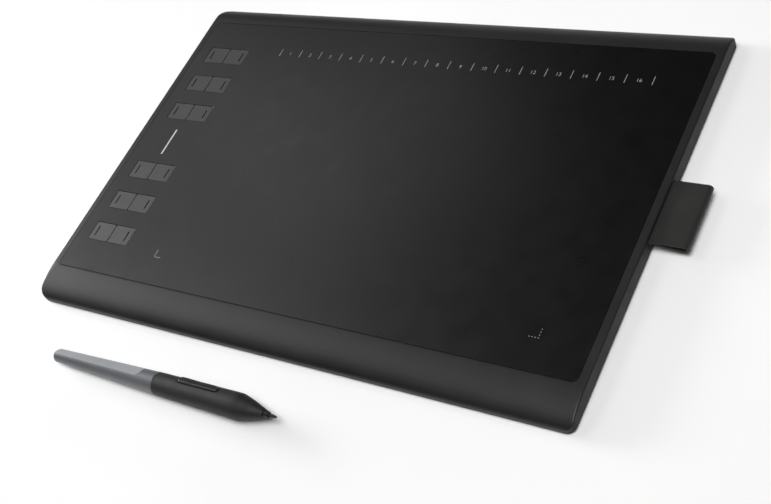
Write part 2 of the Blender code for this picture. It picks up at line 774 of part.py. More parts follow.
def pen_loop(tablet):
    span = (LOOP_Y - LOOP_WIDTH / 2, LOOP_Y + LOOP_WIDTH / 2)
    band = slab("pen_loop", [strip(loop_path(), LOOP_CLOTH)], *span, tablet, "XZ")
    finish(band, (0.035, 0.034, 0.032), 0.95, sharp=60.0)
    low = (ANCHOR_X[0], span[0], ANCHOR_Z[0])
    finish(box("loop_anchor", low, (ANCHOR_X[1], span[1], ANCHOR_Z[1]), tablet, edge=0.3), (0.05, 0.05, 0.05), 0.6)


# ---------------------------------------------------------------- pen


def pen_frame():
    """Empty on the pen's axis, which rises towards the nib so that the grip lies flat."""
    slope = math.atan2(WIDEST_RADIUS - JOIN_RADIUS, WIDEST_Z - JOIN_Z)
    roll = math.radians(PEN_ROLL)
    along = Vector((math.cos(slope), 0.0, math.sin(slope)))
    level = Vector((0.0, 1.0, 0.0))
    up = Vector((-math.sin(slope), 0.0, math.cos(slope))) * math.cos(roll) + level * math.sin(roll)
    empty = bpy.data.objects.new("pen_axis", None)
    collection("pen_drawing_tablet").objects.link(empty)
    turn = Matrix((up, along.cross(up), along)).transposed()
    tail_height = JOIN_RADIUS * math.cos(slope) - JOIN_Z * math.sin(slope)
    tail = Vector((TABLET_X + PEN_TAIL_X, TABLET_Y + PEN_Y, tail_height))
    empty.matrix_world = Matrix.Translation(tail * MM) @ turn.to_4x4()
    return empty


def barrel_radius(z):
    """Radius of the barrel, which widens evenly from its tail to the grip."""
    return TAIL_RADIUS + (JOIN_RADIUS - TAIL_RADIUS) * (z - TAIL_ROUND) / (JOIN_Z - TAIL_ROUND)


def pen_barrel(pen):
    socket_z = SPIGOT_Z - GAP
    profile = [(JOIN_RADIUS, JOIN_Z)]
    profile += arc((0.0, TAIL_ROUND), (TAIL_RADIUS, TAIL_ROUND), 0, -90, 5)[:-1]
    profile += [(0.0, 0.0), (0.0, BORE_START_Z), (BARREL_BORE, BORE_START_Z)]
    profile += [(BARREL_BORE, socket_z), (SPIGOT_RADIUS + GAP, socket_z), (SPIGOT_RADIUS + GAP, JOIN_Z)]
    barrel = turned("pen_barrel", profile, pen)
    half_angle = math.radians(FLAT_HALF_ANGLE)
    start = barrel_radius(0.0) * math.cos(half_angle)
    end = barrel_radius(FLAT_END_Z) * math.cos(half_angle)
    round_z = FLAT_END_Z - FLAT_HALF_WIDTH
    outline = [(-FLAT_HALF_WIDTH, -OVERCUT), (FLAT_HALF_WIDTH, -OVERCUT)]
    outline += arc((0.0, round_z), (FLAT_HALF_WIDTH, FLAT_HALF_WIDTH), 0, 180, 10)
    flat = slab("barrel_flat", [outline], 0.0, TAIL_RADIUS * 2, pen, "YZ", "barrel_cuts")
    flat.location = (start * MM, 0.0, 0.0)
    flat.data.transform(Matrix.Translation((TAIL_RADIUS * MM, 0.0, 0.0)))
    flat.rotation_euler = (0.0, math.atan2(end - start, FLAT_END_Z), 0.0)
    combine(barrel, "barrel_cuts", "DIFFERENCE")
    finish(barrel, (0.12, 0.125, 0.13), 0.4)


def pen_grip(pen):
    profile = [(CONE_END_RADIUS, CONE_END_Z)]
    profile += [(WIDEST_RADIUS - SHOULDER_DROP, WIDEST_Z + SHOULDER_RUN), (WIDEST_RADIUS, WIDEST_Z)]
    profile += [(JOIN_RADIUS, JOIN_Z + GAP), (SPIGOT_RADIUS, JOIN_Z + GAP), (SPIGOT_RADIUS, SPIGOT_Z)]
    spigot_bore = SPIGOT_RADIUS - SPIGOT_WALL
    profile += [(spigot_bore, SPIGOT_Z), (spigot_bore, SPIGOT_WEB_Z[0]), (GRIP_BORE, SPIGOT_WEB_Z[1])]
    profile += [(GRIP_BORE, GRIP_NOSE_Z[0]), (GRIP_NOSE_BORE, GRIP_NOSE_Z[1])]
    profile += [(NIB_BORE + NIB_CLEARANCE, CONE_END_Z)]
    grip = turned("pen_grip", profile, pen)
    width, length = ROCKER_WIDTH + 2 * GAP, ROCKER_LENGTH + 2 * GAP
    slot = centred(0.0, ROCKER_Z, width, length, width / 2, 5)
    slab("rocker_slot", [slot], GRIP_BORE / 2, WIDEST_RADIUS + OVERCUT, pen, "YZ", "grip_cuts")
    cross_pin("pin_seat", ROCKER_PIN_RADIUS + GAP, ROCKER_PIN_HALF + GAP, pen, "grip_cuts")
    combine(grip, "grip_cuts", "DIFFERENCE")
    finish(grip, (0.02, 0.02, 0.021), 0.7)


def cross_pin(name, radius, half, pen, group="pen_drawing_tablet"):
    """Round bar along Y on the rocker's pivot."""
    bm = bmesh.new()
    bmesh.ops.create_cone(bm, cap_ends=True, segments=12, radius1=radius, radius2=radius, depth=2 * half)
    bmesh.ops.rotate(bm, verts=bm.verts, matrix=Matrix.Rotation(math.pi / 2, 3, "X"))
    obj = link(name, to_mesh(name, bm), pen, group)
    obj.location = (ROCKER_PIN_X * MM, 0.0, ROCKER_Z * MM)
    return obj


def pen_rocker(pen):
    """One long bar that rocks on a cross pin, with its origin on the pivot."""
    bar = centred(0.0, 0.0, ROCKER_WIDTH, ROCKER_LENGTH, ROCKER_WIDTH / 2, 5)
    low, high = ROCKER_X[0] - ROCKER_PIN_X, ROCKER_X[1] - ROCKER_PIN_X
    mesh = outline_mesh("pen_rocker", [bar], high - low)
    mesh.transform(Matrix.Translation(((low + high) / 2 * MM, 0.0, 0.0)) @ PLANES["YZ"].to_4x4())
    rocker = link("pen_rocker", mesh, pen)
    rocker.location = (ROCKER_PIN_X * MM, 0.0, ROCKER_Z * MM)
    half = ROCKER_WIDTH / 2 - ROCKER_LUG_INSET
    lug_low = (ROCKER_LUG_X, -half, ROCKER_Z - ROCKER_LUG_HALF)
    lug_high = (ROCKER_X[0] + ROCKER_LUG_ROOT, half, ROCKER_Z + ROCKER_LUG_HALF)
    box("rocker_lug", lug_low, lug_high, pen, "rocker_additions")
    cross_pin("rocker_bore", ROCKER_PIN_RADIUS + GAP, ROCKER_WIDTH, pen, "rocker_cuts")
    combine(rocker, "rocker_additions", "UNION")
    combine(rocker, "rocker_cuts", "DIFFERENCE")
    finish(rocker, (0.03, 0.03, 0.032), 0.3)
    pin = cross_pin("pen_rocker_pin", ROCKER_PIN_RADIUS, ROCKER_PIN_HALF, pen)
    finish(pin, (0.5, 0.5, 0.5), 0.3, 1.0)


def pen_nib(pen):
    tip = arc((0.0, PEN_LENGTH - NIB_RADIUS), (NIB_RADIUS, NIB_RADIUS), 90, 0, 4)
    profile = [(0.0, PEN_LENGTH), *tip[1:], (NIB_RADIUS, NIB_REAR_Z), (0.0, NIB_REAR_Z)]
    finish(turned("pen_nib", profile, pen, steps=12), (0.03, 0.03, 0.03), 0.5)


def pen_collar(pen):
    """Ring round the nib that steps in twice towards the tip."""
    low = CONE_END_Z + GAP
    base, middle, neck, tip = COLLAR_RADII
    first, second, third, fourth, top = (low + step for step in COLLAR_STEPS)
    profile = [(tip, top), (neck, fourth), (middle, third), (middle, second)]
    profile += [(base, first), (base, low), (NIB_BORE, low), (NIB_BORE, top)]
    finish(turned("pen_nib_collar", profile, pen, steps=16), (0.03, 0.03, 0.03), 0.45)


def tube(name, inner, outer, low, high, pen, colour, roughness, metallic=0.0):
    profile = [(outer, high), (outer, low), (inner, low), (inner, high)]
    finish(turned(name, profile, pen, steps=16), colour, roughness, metallic)


def pen_carrier(pen):
    """Half-round tray under the pen's circuit board."""
    low, high = CARRIER_Z
    carrier = cylinder("pen_carrier", CARRIER_RADIUS, low, high, (0.0, 0.0), pen, sides=24)
    start, end, wide = low - OVERCUT, high + OVERCUT, CARRIER_RADIUS + OVERCUT
    box("carrier_top", (CARRIER_TOP, -wide, start), (wide, wide, end), pen, "carrier_cuts")
    cylinder("carrier_bore", CARRIER_BORE, start, end, (0.0, 0.0), pen, "carrier_cuts", sides=24)
    combine(carrier, "carrier_cuts", "DIFFERENCE")
    finish(carrier, (0.6, 0.6, 0.58), 0.5)


def pen_electronics(pen):
    half = PEN_BOARD_HALF
    low, high = (PEN_BOARD_X[0], -half, PEN_BOARD_Z[0]), (PEN_BOARD_X[1], half, PEN_BOARD_Z[1])
    finish(box("pen_circuit_board", low, high, pen), MASK_GREEN, 0.4)
    for number, side in enumerate((-1, 1), 1):
        middle = ROCKER_Z + side * SWITCH_OFFSET
        low = (SWITCH_X[0], -SWITCH_HALF, middle - SWITCH_HALF)
        high = (SWITCH_X[1], SWITCH_HALF, middle + SWITCH_HALF)
        finish(box(f"pen_switch_{number}", low, high, pen, edge=SWITCH_EDGE), (0.5, 0.5, 0.5), 0.35, 1.0)
    sensor = cylinder("pen_pressure_sensor", PRESSURE_SENSOR_RADIUS, *PRESSURE_SENSOR_Z, (0.0, 0.0), pen)
    finish(sensor, (0.08, 0.08, 0.08), 0.5)
    tube("pen_ferrite_core", NIB_BORE, FERRITE_RADIUS, *FERRITE_Z, pen, (0.06, 0.055, 0.05), 0.6)
    tube("pen_coil", *COIL_RADII, *COIL_Z, pen, (0.72, 0.35, 0.16), 0.35, 1.0)


# ---------------------------------------------------------------- the whole set


def tablet_frame():
    empty = bpy.data.objects.new("tablet_centre", None)
    collection("pen_drawing_tablet").objects.link(empty)
    empty.location = (TABLET_X * MM, TABLET_Y * MM, 0.0)
    return empty


def main():
    clear_scene()
    tablet = tablet_frame()
    top_frame(tablet)
    bottom_cover(tablet)
    feet(tablet)
    drawing_surface(tablet)
    screws(tablet)
    keys(tablet)
    boards(tablet)
    dome_sheet(tablet)
    usb_socket(tablet)
    card_socket(tablet)
    ribbons(tablet)
    pen_loop(tablet)
    pen = pen_frame()
    pen_barrel(pen)
    pen_grip(pen)
    pen_rocker(pen)
    pen_nib(pen)
    pen_collar(pen)
    pen_carrier(pen)
    pen_electronics(pen)


main()
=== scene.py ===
"""Looks of a pen drawing tablet and its pen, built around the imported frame.

Shapes are drawn in millimetres, in the tablet's own frame or in the pen's own frame,
and become metres in the row frame when a piece is placed. The tablet's frame has the
plan centre of the housing at X = Y = 0. The pen's frame runs along its axis from the
tail, with +X towards the flat on its barrel and the rocker button.
"""

import json
import logging
import math
from collections.abc import Callable, Sequence
from dataclasses import dataclass
from enum import Enum
from itertools import accumulate

import bmesh
import bpy
from bmesh.types import BMEdge, BMesh, BMFace, BMVert
from mathutils import Matrix, Vector


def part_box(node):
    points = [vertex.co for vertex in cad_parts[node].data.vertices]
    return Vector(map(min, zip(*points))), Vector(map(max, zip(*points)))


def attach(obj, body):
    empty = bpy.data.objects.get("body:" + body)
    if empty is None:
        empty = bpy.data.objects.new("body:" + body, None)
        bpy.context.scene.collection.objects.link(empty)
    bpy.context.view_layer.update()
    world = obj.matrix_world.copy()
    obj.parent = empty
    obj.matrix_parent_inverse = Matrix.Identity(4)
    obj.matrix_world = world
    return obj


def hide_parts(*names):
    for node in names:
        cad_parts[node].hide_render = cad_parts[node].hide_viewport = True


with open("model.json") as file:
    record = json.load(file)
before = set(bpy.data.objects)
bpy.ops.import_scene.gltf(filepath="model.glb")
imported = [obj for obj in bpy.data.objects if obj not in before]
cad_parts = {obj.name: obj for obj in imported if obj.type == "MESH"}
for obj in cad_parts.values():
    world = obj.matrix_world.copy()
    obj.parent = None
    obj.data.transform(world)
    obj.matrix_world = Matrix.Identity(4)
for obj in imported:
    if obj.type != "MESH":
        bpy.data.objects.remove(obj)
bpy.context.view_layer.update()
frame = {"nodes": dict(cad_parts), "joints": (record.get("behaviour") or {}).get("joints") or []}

LOG = logging.getLogger("pen_drawing_tablet")

# A millimetre in metres. All lengths below are millimetres, apart from the studio's.
MM = 0.001
# The usual clearance between two pieces.
GAP = 0.3
# Corners nearer to each other than this are one corner.
WELD = 1e-4
# A point nearer to a plane than this lies in it.
TOUCH = 0.01
# How far a cutter reaches past what it cuts.
OVERCUT = 2.0
# The turn in degrees from which an edge is a square one.
SQUARE = 60.0
# A round end's radius as a share of half the width, so that its corners stay apart.
ROUND_END = 0.98
# The attribute that is one on the edges that wear.
WORN = "worn"
# The band's own UV map.
WEAVE = "weave"
# The length of a wave texture's period at a scale of one.
WAVE_PERIOD = math.tau / 20
# The part of a noise's range that most of its surface falls in.
COMMON = (0.3, 0.7)
# Lays an upright shape down: its height goes along X, its plan across and up.
SIDEWAYS = Matrix(((0, 0, 1), (1, 0, 0), (0, 1, 0))).to_4x4()

Place = Callable[[Vector], Vector]
Socket = bpy.types.NodeSocket
Tree = bpy.types.NodeTree


class Flats(Enum):
    """Which faces are shaded as planes."""

    LEVEL = "those square to the axes"
    ALL = "every large one"


# ------------------------------------------------------------------ materials


def linear(code: str) -> tuple[float, float, float, float]:
    """Turns an sRGB hex colour into linear light.

    Args:
        code: six hex digits after a hash sign.

    Returns:
        Red, green, blue and an alpha of one.
    """
    parts = [int(code[at : at + 2], 16) / 255 for at in (1, 3, 5)]
    light = [part / 12.92 if part <= 0.04045 else ((part + 0.055) / 1.055) ** 2.4 for part in parts]
    return light[0], light[1], light[2], 1.0


def add_node(tree: Tree, kind: str, inputs: dict | None = None, **settings: object) -> bpy.types.Node:
    """Adds a node, sets it up and links what feeds it.

    Args:
        tree: the node tree it goes in.
        kind: the node's type name.
        inputs: values or sockets for its inputs, by name or number.
        settings: its own properties.

    Returns:
        The new node.
    """
    node = tree.nodes.new(kind)
    for key, value in settings.items():
        setattr(node, key, value)
    for key, value in (inputs or {}).items():
        if isinstance(value, Socket):
            tree.links.new(value, node.inputs[key])
        else:
            node.inputs[key].default_value = value
    return node


def per(size: float) -> float:
    """Scale of a pattern whose parts have a size in millimetres."""
    return 1 / (size * MM)


@dataclass(frozen=True)
class Finish:
    """A moulded or coated surface: mottled in colour, grained in relief, rubbed at its edges.

    The mottle is the slow change that handling leaves, and the grain is the texture that
    the mould or the coating gives. Rubbed edges come in patches and are smoother.
    """

    name: str
    colour: str
    deep: str
    roughness: float = 0.5
    spread: float = 0.05
    ior: float = 1.5
    metallic: float = 0.0
    mottle: float = 35.0
    grain: float = 0.5
    relief: float = 0.012
    rub: float = 0.35
    rub_colour: str = "#6a6a6a"
    rub_patch: float = 4.0
    rub_polish: float = 0.15
    coat: float = 0.0
    coat_roughness: float = 0.2
    sheen: float = 0.0

    def material(self) -> bpy.types.Material:
        """The material of this finish, made when it is first asked for."""
        made = bpy.data.materials.get(self.name)
        if made is None:
            made = bpy.data.materials.new(self.name)
            made.use_nodes = True
            made.node_tree.nodes.clear()
            self.dress(made.node_tree)
        return made

    def height(self, tree: Tree, points: Socket) -> Socket:
        """Relief of the surface, from 0 to 1."""
        return add_node(tree, "ShaderNodeTexNoise", {"Vector": points, "Scale": per(self.grain)}).outputs[0]

    def tint(self, tree: Tree, points: Socket) -> Socket:
        """Mottles the surface between its two colours.

        Args:
            tree: the material's node tree.
            points: where the pattern is read.

        Returns:
            The colour before wear.
        """
        mottle = {"Vector": points, "Scale": per(self.mottle), "Detail": 4.0}
        mottle = add_node(tree, "ShaderNodeTexNoise", mottle).outputs[0]
        share = add_node(tree, "ShaderNodeMapRange", {0: mottle, 1: COMMON[0], 2: COMMON[1]}).outputs[0]
        colours = {0: share, 6: linear(self.colour), 7: linear(self.deep)}
        return add_node(tree, "ShaderNodeMix", colours, data_type="RGBA").outputs[2]

    def dress(self, tree: Tree) -> None:
        """Builds the nodes of the finish on the piece's own coordinates.

        Args:
            tree: the material's empty node tree.
        """
        points = add_node(tree, "ShaderNodeTexCoord").outputs["Object"]
        handled = {"Vector": points, "Scale": per(self.mottle * 0.4), "Detail": 5.0}
        handled = add_node(tree, "ShaderNodeTexNoise", handled).outputs[0]
        edge = add_node(tree, "ShaderNodeAttribute", attribute_name=WORN).outputs["Fac"]
        patches = {"Vector": points, "Scale": per(self.rub_patch), "Detail": 4.0}
        patches = add_node(tree, "ShaderNodeTexNoise", patches).outputs[0]
        patchy = {0: patches, 1: 0.4, 2: 0.65, 3: 0.25, 4: 1.0}
        patchy = add_node(tree, "ShaderNodeMapRange", patchy).outputs[0]
        patchy = add_node(tree, "ShaderNodeMath", {0: edge, 1: patchy}, operation="MULTIPLY").outputs[0]
        rubbed = add_node(tree, "ShaderNodeMath", {0: patchy, 1: self.rub}, operation="MULTIPLY").outputs[0]
        colours = {0: rubbed, 6: self.tint(tree, points), 7: linear(self.rub_colour)}
        low, high = self.roughness - self.spread, self.roughness + self.spread
        rough = {0: handled, 1: COMMON[0], 2: COMMON[1], 3: low, 4: high}
        rough = add_node(tree, "ShaderNodeMapRange", rough).outputs[0]
        polished = {0: rubbed, 1: -self.rub_polish, 2: rough}
        bump = {"Strength": 1.0, "Distance": self.relief * MM, "Height": self.height(tree, points)}
        inputs = {
            "Base Color": add_node(tree, "ShaderNodeMix", colours, data_type="RGBA").outputs[2],
            "Roughness": add_node(tree, "ShaderNodeMath", polished, operation="MULTIPLY_ADD").outputs[0],
            "Metallic": self.metallic,
            "IOR": self.ior,
            "Coat Weight": self.coat,
            "Coat Roughness": self.coat_roughness,
            "Sheen Weight": self.sheen,
            "Normal": add_node(tree, "ShaderNodeBump", bump).outputs[0],
        }
        shader = add_node(tree, "ShaderNodeBsdfPrincipled", inputs)
        add_node(tree, "ShaderNodeOutputMaterial", {"Surface": shader.outputs[0]})


@dataclass(frozen=True)
class BrushedMetal(Finish):
    """Rolled or drawn metal, with fine lines along one direction."""

    metallic: float = 1.0
    line_length: float = 6.0

    def height(self, tree: Tree, points: Socket) -> Socket:
        """Lines a few millimetres long and as narrow as the grain."""
        mapping = {"Vector": points, "Scale": (self.grain / self.line_length, 1.0, 1.0)}
        return super().height(tree, add_node(tree, "ShaderNodeMapping", mapping).outputs[0])


@dataclass(frozen=True)
class WovenBand(Finish):
    """Elastic webbing: ribs along the band and finer weft across it, on the piece's own UV."""

    rib: float = 1.5
    weft: float = 0.9
    unevenness: float = 0.35

    def threads(self, tree: Tree, direction: str, pitch: float) -> Socket:
        """Draws threads side by side.

        Args:
            tree: the material's node tree.
            direction: the axis of the band's UV that they follow each other along.
            pitch: from one thread to the next.

        Returns:
            Their height, from 0 to 1.
        """
        points = add_node(tree, "ShaderNodeUVMap", uv_map=WEAVE).outputs[0]
        inputs = {"Vector": points, "Scale": WAVE_PERIOD / pitch, "Detail": 1.0}
        inputs["Distortion"] = self.unevenness
        settings = {"wave_type": "BANDS", "bands_direction": direction, "wave_profile": "SIN"}
        return add_node(tree, "ShaderNodeTexWave", inputs, **settings).outputs["Fac"]

    def height(self, tree: Tree, points: Socket) -> Socket:
        """Ribs crossed by weft, with loose fibre over them."""
        crossing = {0: self.threads(tree, "Y", self.rib), 1: self.threads(tree, "X", self.weft)}
        crossed = add_node(tree, "ShaderNodeMath", crossing, operation="MULTIPLY").outputs[0]
        fibre = {"Vector": points, "Scale": per(self.grain), "Detail": 3.0}
        fibre = {0: add_node(tree, "ShaderNodeTexNoise", fibre).outputs[0], 1: 0.5, 2: crossed}
        return add_node(tree, "ShaderNodeMath", fibre, operation="MULTIPLY_ADD").outputs[0]

    def tint(self, tree: Tree, points: Socket) -> Socket:
        """Painted highlight on the crowns of the threads and painted shade between them, with flecks of
        tone.
        """
        # Thread height paints the crowns lighter and the hollows darker: painted light and shade, not yarn
        # colour.
        painted_crown_light = {0: self.threads(tree, "Y", self.rib), 1: 0.1, 2: 0.9, 4: 0.55}
        painted_crown_light = add_node(tree, "ShaderNodeMapRange", painted_crown_light).outputs[0]
        fleck = add_node(tree, "ShaderNodeTexNoise", {"Vector": points, "Scale": per(self.weft)}).outputs[0]
        fleck = add_node(tree, "ShaderNodeMapRange", {0: fleck, 1: 0.35, 2: 0.7, 4: 0.45}).outputs[0]
        share = add_node(tree, "ShaderNodeMath", {0: painted_crown_light, 1: fleck}, operation="ADD").outputs[0]
        colours = {0: share, 6: linear(self.deep), 7: linear(self.colour)}
        return add_node(tree, "ShaderNodeMix", colours, data_type="RGBA").outputs[2]


@dataclass(frozen=True)
class DrawingFilm(Finish):
    """Matt film with a paper-like tooth and faint strokes that the nib has left."""

    stroke: float = 1.6
    stroke_stretch: float = 0.12
    stroke_turn: float = 0.6

    def tint(self, tree: Tree, points: Socket) -> Socket:
        """Even dark film with faint strokes where the nib has run."""
        mapping = {"Vector": points, "Rotation": (0, 0, self.stroke_turn)}
        mapping["Scale"] = (self.stroke_stretch, 1.0, 1.0)
        along = add_node(tree, "ShaderNodeMapping", mapping).outputs[0]
        lines = {"Vector": along, "Scale": per(self.stroke), "Detail": 6.0}
        lines = add_node(tree, "ShaderNodeTexNoise", lines).outputs[0]
        strokes = add_node(tree, "ShaderNodeMapRange", {0: lines, 1: 0.64, 2: 0.8, 4: 0.03}).outputs[0]
        colours = {0: strokes, 6: super().tint(tree, points), 7: linear(self.rub_colour)}
        return add_node(tree, "ShaderNodeMix", colours, data_type="RGBA").outputs[2]


@dataclass(frozen=True)
class CircuitBoard(Finish):
    """Solder mask over copper tracks, with bare pads at the crossings."""

    track: float = 2.4
    pad_pitch: float = 5.28
    pad_colour: str = "#b9a05a"

    def height(self, tree: Tree, points: Socket) -> Socket:
        """The joints of square cells as tracks, which stand a little proud under the mask."""
        inputs = {"Vector": points, "Scale": per(self.track), "Mortar Size": 0.09, "Mortar Smooth": 0.2}
        inputs |= {"Color1": (0, 0, 0, 1), "Color2": (0, 0, 0, 1), "Mortar": (1, 1, 1, 1)}
        inputs |= {"Brick Width": 1.6, "Row Height": 0.7}
        return add_node(tree, "ShaderNodeTexBrick", inputs, offset=0.37).outputs["Fac"]

    def tint(self, tree: Tree, points: Socket) -> Socket:
        """Green mask, lighter over the copper, with gold pads here and there."""
        mask = {0: self.height(tree, points), 6: linear(self.deep), 7: linear(self.colour)}
        mask = add_node(tree, "ShaderNodeMix", mask, data_type="RGBA").outputs[2]
        cells = {"Vector": points, "Scale": per(self.pad_pitch)}
        spots = add_node(tree, "ShaderNodeTexVoronoi", cells).outputs["Distance"]
        pads = add_node(tree, "ShaderNodeMapRange", {0: spots, 1: 0.1, 2: 0.14, 3: 1.0, 4: 0.0}).outputs[0]
        colours = {0: pads, 6: mask, 7: linear(self.pad_colour)}
        return add_node(tree, "ShaderNodeMix", colours, data_type="RGBA").outputs[2]


@dataclass(frozen=True)
class WoundWire(Finish):
    """Enamelled copper wire in close turns round the pen's axis."""

    metallic: float = 1.0
    pitch: float = 0.4

    def height(self, tree: Tree, points: Socket) -> Socket:
        """One ridge for each turn of wire."""
        inputs = {"Vector": points, "Scale": WAVE_PERIOD / (self.pitch * MM)}
        settings = {"wave_type": "BANDS", "bands_direction": "X", "wave_profile": "SIN"}
        return add_node(tree, "ShaderNodeTexWave", inputs, **settings).outputs["Fac"]


# ABS, spark-eroded mould: an even, fine satin grain that scatters the softbox.
FRAME_ABS = Finish(
    "abs_satin_moulded_black", "#1e1e1e", "#1a1a1a", 0.42, 0.03, ior=1.4, grain=0.45, relief=0.012
)
# The same ABS on the end walls: rougher, where the mould is etched deeper so that it can be drawn, and
# painted darker as painted shade on walls that stand in shade.
END_WALL_PAINTED_SHADE_ABS = Finish(
    "abs_etched_black_painted_shade", "#141414", "#101010", 0.58, 0.04, ior=1.4, grain=0.6, relief=0.03
)
# The same ABS from a coarser mould: duller, as an underside is.
COVER_ABS = Finish("abs_coarse_moulded_black", "#272728", "#212122", 0.6, 0.05, grain=0.8, relief=0.05)
# PET film with a paper tooth: close to black, with a broad soft reflection.
SHEET_PET = DrawingFilm(
    "pet_film_matt_black", "#050505", "#030303", 0.29, 0.02, grain=0.3, relief=0.01, rub=0.2
)
# ABS keys from a smoother mould, so they catch a little more light than the film.
KEY_ABS = Finish("abs_key_moulded_grey", "#363636", "#303030", 0.42, 0.03, mottle=12.0, grain=0.4)
# Nearly black paint on the walls and floor of the keys' slots, glossy: painted shade in the recess.
SLOT_PAINTED_SHADE = Finish(
    "slot_painted_shade_black", "#060606", "#040404", 0.4, 0.05, mottle=5.0, grain=0.3, relief=0.006
)
# Silk-screened ink in two greys: thin, slightly uneven where the mesh left it.
SCALE_INK = Finish("screen_ink_grey", "#8f8f8f", "#7b7b7b", 0.6, 0.05, mottle=3.0, grain=0.25, rub=0.0)
MARK_INK = Finish("screen_ink_white", "#c4c4c4", "#b4b4b4", 0.55, 0.05, mottle=3.0, grain=0.25, rub=0.0)
# Nitrile rubber foot: dull, with the bloom and dust that rubber gathers.
FOOT_RUBBER = Finish(
    "nitrile_rubber_black", "#1a1a1a", "#2a2a29", 0.85, 0.06, mottle=8.0, grain=0.7, relief=0.04
)
# Elastic polyester webbing, warm dark grey, with a soft sheen of fibre.
LOOP_WEBBING = WovenBand(
    "polyester_webbing_woven", "#1a1917", "#141312", 0.88, 0.04, grain=0.3, relief=0.05, rub=0.1, sheen=0.15
)
# Painted ABS barrel: fine metallic grey lacquer with a satin coat.
BARREL_LACQUER = Finish(
    "lacquered_abs_grey", "#5a5d61", "#54575b", 0.42, 0.04, mottle=18.0, grain=0.25, relief=0.006, coat=0.1
)
# The flat along the barrel: the barrel's grey lacquer painted paler than its sides, a painted highlight
# where the flat faces the light.
FLAT_PAINTED_HIGHLIGHT = Finish(
    "lacquered_abs_grey_painted_highlight",
    "#a3a6a9",
    "#9a9da0",
    0.36,
    0.04,
    mottle=18.0,
    grain=0.25,
    relief=0.006,
    coat=0.15,
)
# Soft-touch thermoplastic rubber, moulded over the grip: matt black, shinier where fingers rest.
GRIP_RUBBER = Finish(
    "soft_touch_rubber_black", "#121212", "#0e0e0e", 0.62, 0.07, mottle=14.0, grain=0.35, relief=0.02
)
# Polished ABS rocker: the glossiest piece of the pen.
ROCKER_ABS = Finish(
    "abs_polished_black", "#262626", "#202020", 0.3, 0.05, mottle=8.0, grain=0.5, relief=0.004
)
# Acetal nib and collar: hard, slippery, faintly waxy.
NIB_ACETAL = Finish(
    "acetal_turned_black", "#1c1c1c", "#161616", 0.42, 0.06, ior=1.48, mottle=4.0, grain=0.3
)
# Zinc-plated screw steel: grey and slightly cloudy.
SCREW_STEEL = BrushedMetal(
    "zinc_plated_steel", "#8d8f92", "#75777a", 0.38, 0.08, mottle=2.0, grain=0.15, rub=0.3
)
# Nickel-plated socket shell: bright, with drawing lines along its depth.
SOCKET_STEEL = BrushedMetal(
    "nickel_plated_steel", "#b9bbbe", "#a5a7aa", 0.28, 0.06, mottle=3.0, grain=0.12
)
# Gold flash on the contacts.
CONTACT_GOLD = BrushedMetal(
    "gold_flashed_contact", "#d8b25a", "#c79f48", 0.25, 0.05, mottle=1.0, grain=0.1
)
# Tinned steel shield plate: dull, with long rolling lines.
SHIELD_TIN = BrushedMetal(
    "tinned_steel_rolled", "#9b9d9f", "#8a8c8f", 0.42, 0.08, grain=0.3, line_length=25.0
)
# Glass-epoxy boards under green solder mask.
BOARD_EPOXY = CircuitBoard(
    "glass_epoxy_green", "#1f6a3c", "#124a28", 0.38, 0.06, grain=1.0, relief=0.03
)
# Stainless snap domes and their clear film: bright and springy.
DOME_STEEL = BrushedMetal("stainless_dome_film", "#b4b6b8", "#9c9ea1", 0.3, 0.06, mottle=6.0, grain=0.2)
# Polyimide ribbon with a satin face.
RIBBON_FILM = Finish("polyimide_ribbon_amber", "#b07a35", "#9a682b", 0.35, 0.05, mottle=5.0, grain=0.4)
# Glass-filled nylon: black, dull, with the fibres near its skin.
ANCHOR_NYLON = Finish(
    "glass_filled_nylon_black", "#202021", "#2a2a2b", 0.58, 0.07, mottle=6.0, grain=0.5, relief=0.03
)
# Unfilled nylon in its own pale colour.
CARRIER_NYLON = Finish("nylon_moulded_natural", "#c9c5b6", "#b7b3a4", 0.5, 0.05, mottle=10.0, grain=0.5)
# Polyester for small electrical parts: black and satin.
SENSOR_PBT = Finish("pbt_moulded_black", "#242425", "#1b1b1c", 0.5, 0.05, mottle=3.0, grain=0.4)
# Sintered ferrite: dark, chalky and slightly rough.
FERRITE = Finish(
    "sintered_ferrite", "#3a3836", "#2c2a29", 0.68, 0.08, mottle=3.0, grain=0.3, relief=0.03
)
# Enamelled copper: a warm dull gleam, ridged by its turns.
COIL_WIRE = WoundWire("enamelled_copper_wire", "#c0703a", "#a65c2c", 0.32, 0.05, mottle=3.0, relief=0.1)
# Tinned can of a small switch.
SWITCH_STEEL = BrushedMetal(
    "tin_plated_switch_shell", "#aeb0b2", "#97999b", 0.33, 0.06, mottle=1.5, grain=0.15
)

